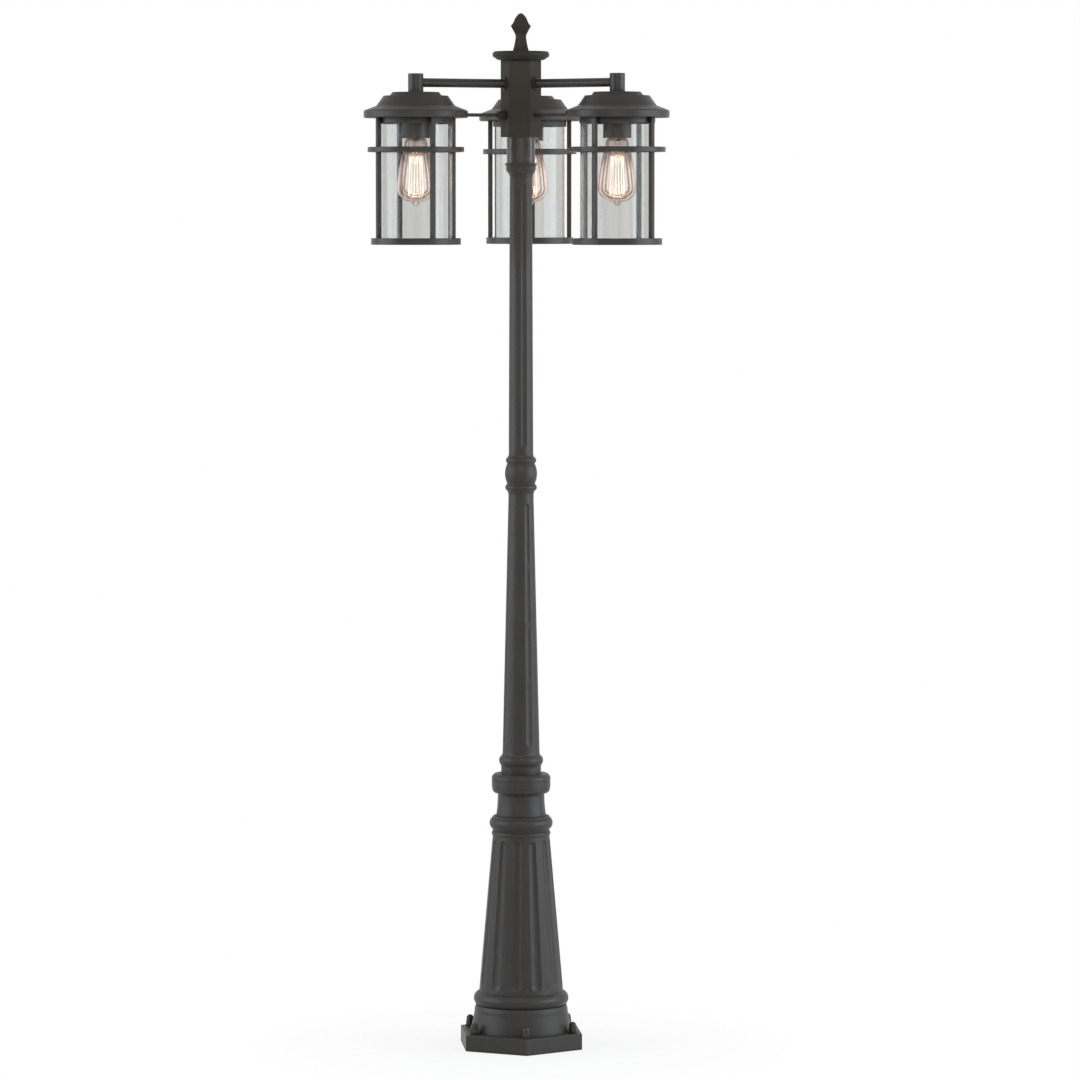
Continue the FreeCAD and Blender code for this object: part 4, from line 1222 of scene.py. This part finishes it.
    def stem(self) -> None:
        """The glass stem: a flare in the neck, a flat press narrowed on one axis, and a
        thin rod with a button at each row of hooks."""
        low, high = self.filament_low[1], self.filament_high[1]
        knots = ((0.0, low - 1.6), (0.9, low - 1.3), (1.3, low), (0.8, low + 1.4),
                 (0.75, low + 20.0), (0.75, high - 18.0), (0.8, high - 1.4), (1.3, high),
                 (0.9, high + 1.6), (1.4, high + 5.0), (2.6, high + 8.0), (3.0, self.press_z),
                 (3.0, 1538.0), (4.0, 1544.0), (6.8, 1549.2), (9.9, 1552.0),
                 (9.9, self.stem_top - 0.2), (0.0, self.stem_top))

        def pressed(r: np.ndarray, z: np.ndarray, angle: np.ndarray) -> np.ndarray:
            """Radius of the press, which is narrower across one axis, near its height."""
            share = self.press_share * np.exp(-((z - self.press_z) / self.press_spread) ** 2)
            return r * (1.0 - share * np.sin(angle - self.cage_turn) ** 2)

        piece = spun_piece(self.body + "_stem_glass", smooth_line(knots, self.per_span),
                           self.centre, 40, pressed)
        store_around(piece, self.centre)
        self.finishes.fit(piece, "stem_glass", self.body, "bulb_glass")

    def build(self) -> None:
        """Build every piece of the bulb."""
        self.glass()
        self.cap()
        self.contact()
        self.filament()
        self.supports()
        self.stem()


@dataclass
class Lantern:
    """One lantern: its glass, and the bulb inside. Millimetres."""

    side: Side
    finishes: Finishes
    arm: float = 195.5
    glass_outer: float = 61.3
    glass_inner: float = 58.5
    glass_z: Pair = (1379.42, 1580.95)
    wave: float = 0.012
    wave_length: float = 47.0

    def centre(self) -> np.ndarray:
        """(x, y) of the lantern's axis in metres."""
        return polar(self.arm * MM, math.radians(self.side.value), 0.0)[:2]

    def glass(self) -> None:
        """The glass cylinder with fire-polished lips: two upright walls joined by half
        circles, whose radius waves slightly round the axis and slowly along it."""
        low, high = self.glass_z
        lip = (self.glass_outer - self.glass_inner) / 2
        middle = (self.glass_outer + self.glass_inner) / 2
        bend = np.linspace(0.0, math.pi, 11)
        climb = np.linspace(low + lip, high - lip, 28)[1:-1]
        profile = np.concatenate([
            zipped(self.glass_outer, climb),
            zipped(middle + lip * np.cos(bend), high - lip + lip * np.sin(bend)),
            zipped(self.glass_inner, climb[::-1]),
            zipped(middle - lip * np.cos(bend), low + lip - lip * np.sin(bend))])
        turn = self.side.value

        def drawn(r: np.ndarray, z: np.ndarray, angle: np.ndarray) -> np.ndarray:
            """Radius of the drawn wall: a sum of three waves, unlike on the two walls.

            Args:
                r: Radius.
                z: Height.
                angle: Angle about the axis.

            Returns:
                The new radius.
            """
            wall = np.where(r > middle, 1.0, -0.6)
            slow = 0.4 * np.sin((z - low) / self.wave_length + turn)
            return r + self.wave * wall * (np.sin(9 * angle + slow) / 2
                                           + np.sin(23 * angle - 2 * slow) / 3
                                           + np.sin(41 * angle + turn) / 6)

        piece = spun_piece(self.side.label + "_lantern_glass", profile, self.centre(), 192,
                           drawn)
        store_around(piece, self.centre())
        self.finishes.fit(piece, "lantern_glass", POST, "lantern_glass",
                          self.side.label + "_glass")

    def build(self) -> None:
        """Build the lantern's own pieces and its bulb."""
        self.glass()
        Bulb(self.side, self.centre(), self.finishes).build()


# ---------------------------------------------------------------- studio
DAYLIGHT = (0.77, 0.90, 1.0)
BODY = (0.0, 0.0, 0.95)
LANTERNS = (0.0, 0.0, 1.6)


def hang(name: str, data: bpy.types.ID, place: Vector) -> Piece:
    """Put a light or a camera in the scene.

    Args:
        name: Its name.
        data: The light or camera.
        place: Where it stands.

    Returns:
        The new object.
    """
    held = bpy.data.objects.new(name, data)
    held.location = place
    bpy.context.scene.collection.objects.link(held)
    return held


def look_along(held: Piece, look: Vector) -> None:
    """Turn a light or a camera to look along a direction."""
    held.rotation_mode = "QUATERNION"
    held.rotation_quaternion = look.to_track_quat("-Z", "Y")


@dataclass(frozen=True)
class SoftBox:
    """A rectangular soft light at a place, pointed at an aim. Metres and watts."""

    name: str
    place: Triple
    size: Pair
    power: float
    aim: Triple = BODY
    colour: Colour = DAYLIGHT

    def build(self) -> None:
        """Hang the light."""
        data = bpy.data.lights.new(self.name, "AREA")
        data.shape = "RECTANGLE"
        data.size, data.size_y = self.size
        data.energy = self.power
        data.color = self.colour
        lamp = hang(self.name, data, Vector(self.place))
        look_along(lamp, Vector(self.aim) - Vector(self.place))
        lamp.visible_camera = False


@dataclass
class Studio:
    """Camera, lights, floor and background. Metres."""

    lens_px: float = 5070.0
    frame_px: float = 1080.0
    distance: float = 8.619
    height: float = 1.419
    offset: float = 0.0323
    azimuth: float = 4.25
    pitch: float = 3.66
    soft_boxes: Tuple[SoftBox, ...] = (
        SoftBox("left_box", (-3.4, -0.9, 1.5), (3.2, 2.2), 100.0),
        SoftBox("right_box", (3.4, -0.7, 1.3), (3.2, 2.2), 122.0),
        SoftBox("top_box", (0.2, -0.6, 3.8), (2.2, 2.2), 3.0),
        SoftBox("front_box", (0.25, -2.2, 2.15), (0.8, 0.8), 12.0, LANTERNS,
                (1.0, 0.93, 0.86)))
    bulb_colour: Colour = (1.0, 0.66, 0.42)
    bulb_r: float = 0.013
    bulb_power: float = 0.34
    bulb_z: float = 1.484
    mirrored_power: float = 0.45
    mirrored_z: Tuple[float, ...] = (1.459, 1.484, 1.509)
    ambient: float = 0.27
    ambient_colour: Colour = (1.0, 0.95, 0.90)
    floor_r: float = 4000.0
    floor_z: Pair = (-0.8, -4.0)
    shaded: Pair = (0.12, 0.50)
    shade: float = 0.16

    def camera(self) -> None:
        """Stand the camera at the photograph's place, looking slightly down."""
        a, p = math.radians(self.azimuth), math.radians(self.pitch)
        right = Vector((math.cos(a), math.sin(a), 0.0))
        back = Vector((math.sin(a), -math.cos(a), 0.0))
        up = Vector((0.0, 0.0, 1.0))
        data = bpy.data.cameras.new("camera")
        data.sensor_width = 36.0
        data.lens = self.lens_px / self.frame_px * data.sensor_width
        data.clip_end = 100.0
        camera = hang("camera", data,
                      back * self.distance + right * self.offset + up * self.height)
        look_along(camera, -back * math.cos(p) - up * math.sin(p))
        bpy.context.scene.camera = camera

    def bulb_light(self, side: Side, centre: np.ndarray) -> None:
        """The warm light that a bulb sheds on its lantern: one sphere that lights, and
        three along the filament that are only mirrored.

        Args:
            side: The bulb's lantern.
            centre: (x, y) of its axis.
        """
        for number, height in enumerate((self.bulb_z, *self.mirrored_z)):
            mirrored = number > 0
            data = bpy.data.lights.new(f"{side.label}_bulb_light_{number}", "POINT")
            data.energy = self.mirrored_power if mirrored else self.bulb_power
            data.color = self.bulb_colour
            data.shadow_soft_size = self.bulb_r
            lamp = hang(data.name, data, Vector((*centre, height)))
            lamp.visible_camera = False
            lamp.visible_transmission = False
            lamp.visible_diffuse = not mirrored
            lamp.visible_glossy = mirrored

    def background(self) -> None:
        """A white world where it is seen, mirrored or looked at through glass, and a
        soft grey one as light."""
        world = bpy.data.worlds.new("white_room")
        world.use_nodes = True
        world.node_tree.nodes.clear()
        nodes = Nodes(world.node_tree)
        light = nodes.add("Background", Color=(*self.ambient_colour, 1.0),
                          Strength=self.ambient)
        white = nodes.add("Background", Color=(1.0, 1.0, 1.0, 1.0), Strength=1.0)
        mixed = nodes.add("MixShader", i0=nodes.seen(), i1=light.outputs[0],
                          i2=white.outputs[0])
        nodes.add("OutputWorld", Surface=mixed.outputs[0])
        bpy.context.scene.world = world

    def floor(self) -> None:
        """A pale floor that fades into the white room: a disc, spun as a thin plate,
        whose own shading shows only near the post's foot."""
        high, low = self.floor_z
        profile = np.array([(0.0, high), (self.floor_r, high), (self.floor_r, low),
                            (0.0, low)])
        piece = spun_piece("pale_floor", profile, np.zeros(2), 64)
        material, nodes, out = new_material("pale_floor")
        place = nodes.place()
        reach = nodes.add("VectorMath", p_operation="LENGTH", i0=place).outputs["Value"]
        near = nodes.remap(reach, *self.shaded, self.shade, 0.0)
        tone = nodes.mix(nodes.noise(place, 60.0, 4.0), (0.90, 0.90, 0.90),
                         (0.94, 0.94, 0.94))
        matte = nodes.add("BsdfPrincipled", Base_Color=tone, Roughness=0.9)
        white = nodes.add("Emission", Color=(1.0, 1.0, 1.0, 1.0), Strength=1.0)
        share = nodes.times(nodes.seen(), nodes.math("SUBTRACT", 1.0, near))
        mixed = nodes.add("MixShader", i0=share, i1=matte.outputs[0], i2=white.outputs[0])
        nodes.put(out.inputs[0], mixed.outputs[0])
        piece.data.materials.append(material)

    def build(self) -> None:
        """Set up the whole studio."""
        bpy.context.scene.view_settings.view_transform = "Standard"
        self.camera()
        for box in self.soft_boxes:
            box.build()
        self.background()
        self.floor()


def main() -> None:
    """Build the studio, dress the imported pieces, build the lanterns and note the sizes."""
    logging.basicConfig(level=logging.INFO, format="%(name)s: %(message)s")
    studio = Studio()
    studio.build()
    finishes = Finishes()
    dress_packed(finishes)
    for side in Side:
        lantern = Lantern(side, finishes)
        lantern.build()
        studio.bulb_light(side, lantern.centre())


if __name__ == "__main__":
    main()
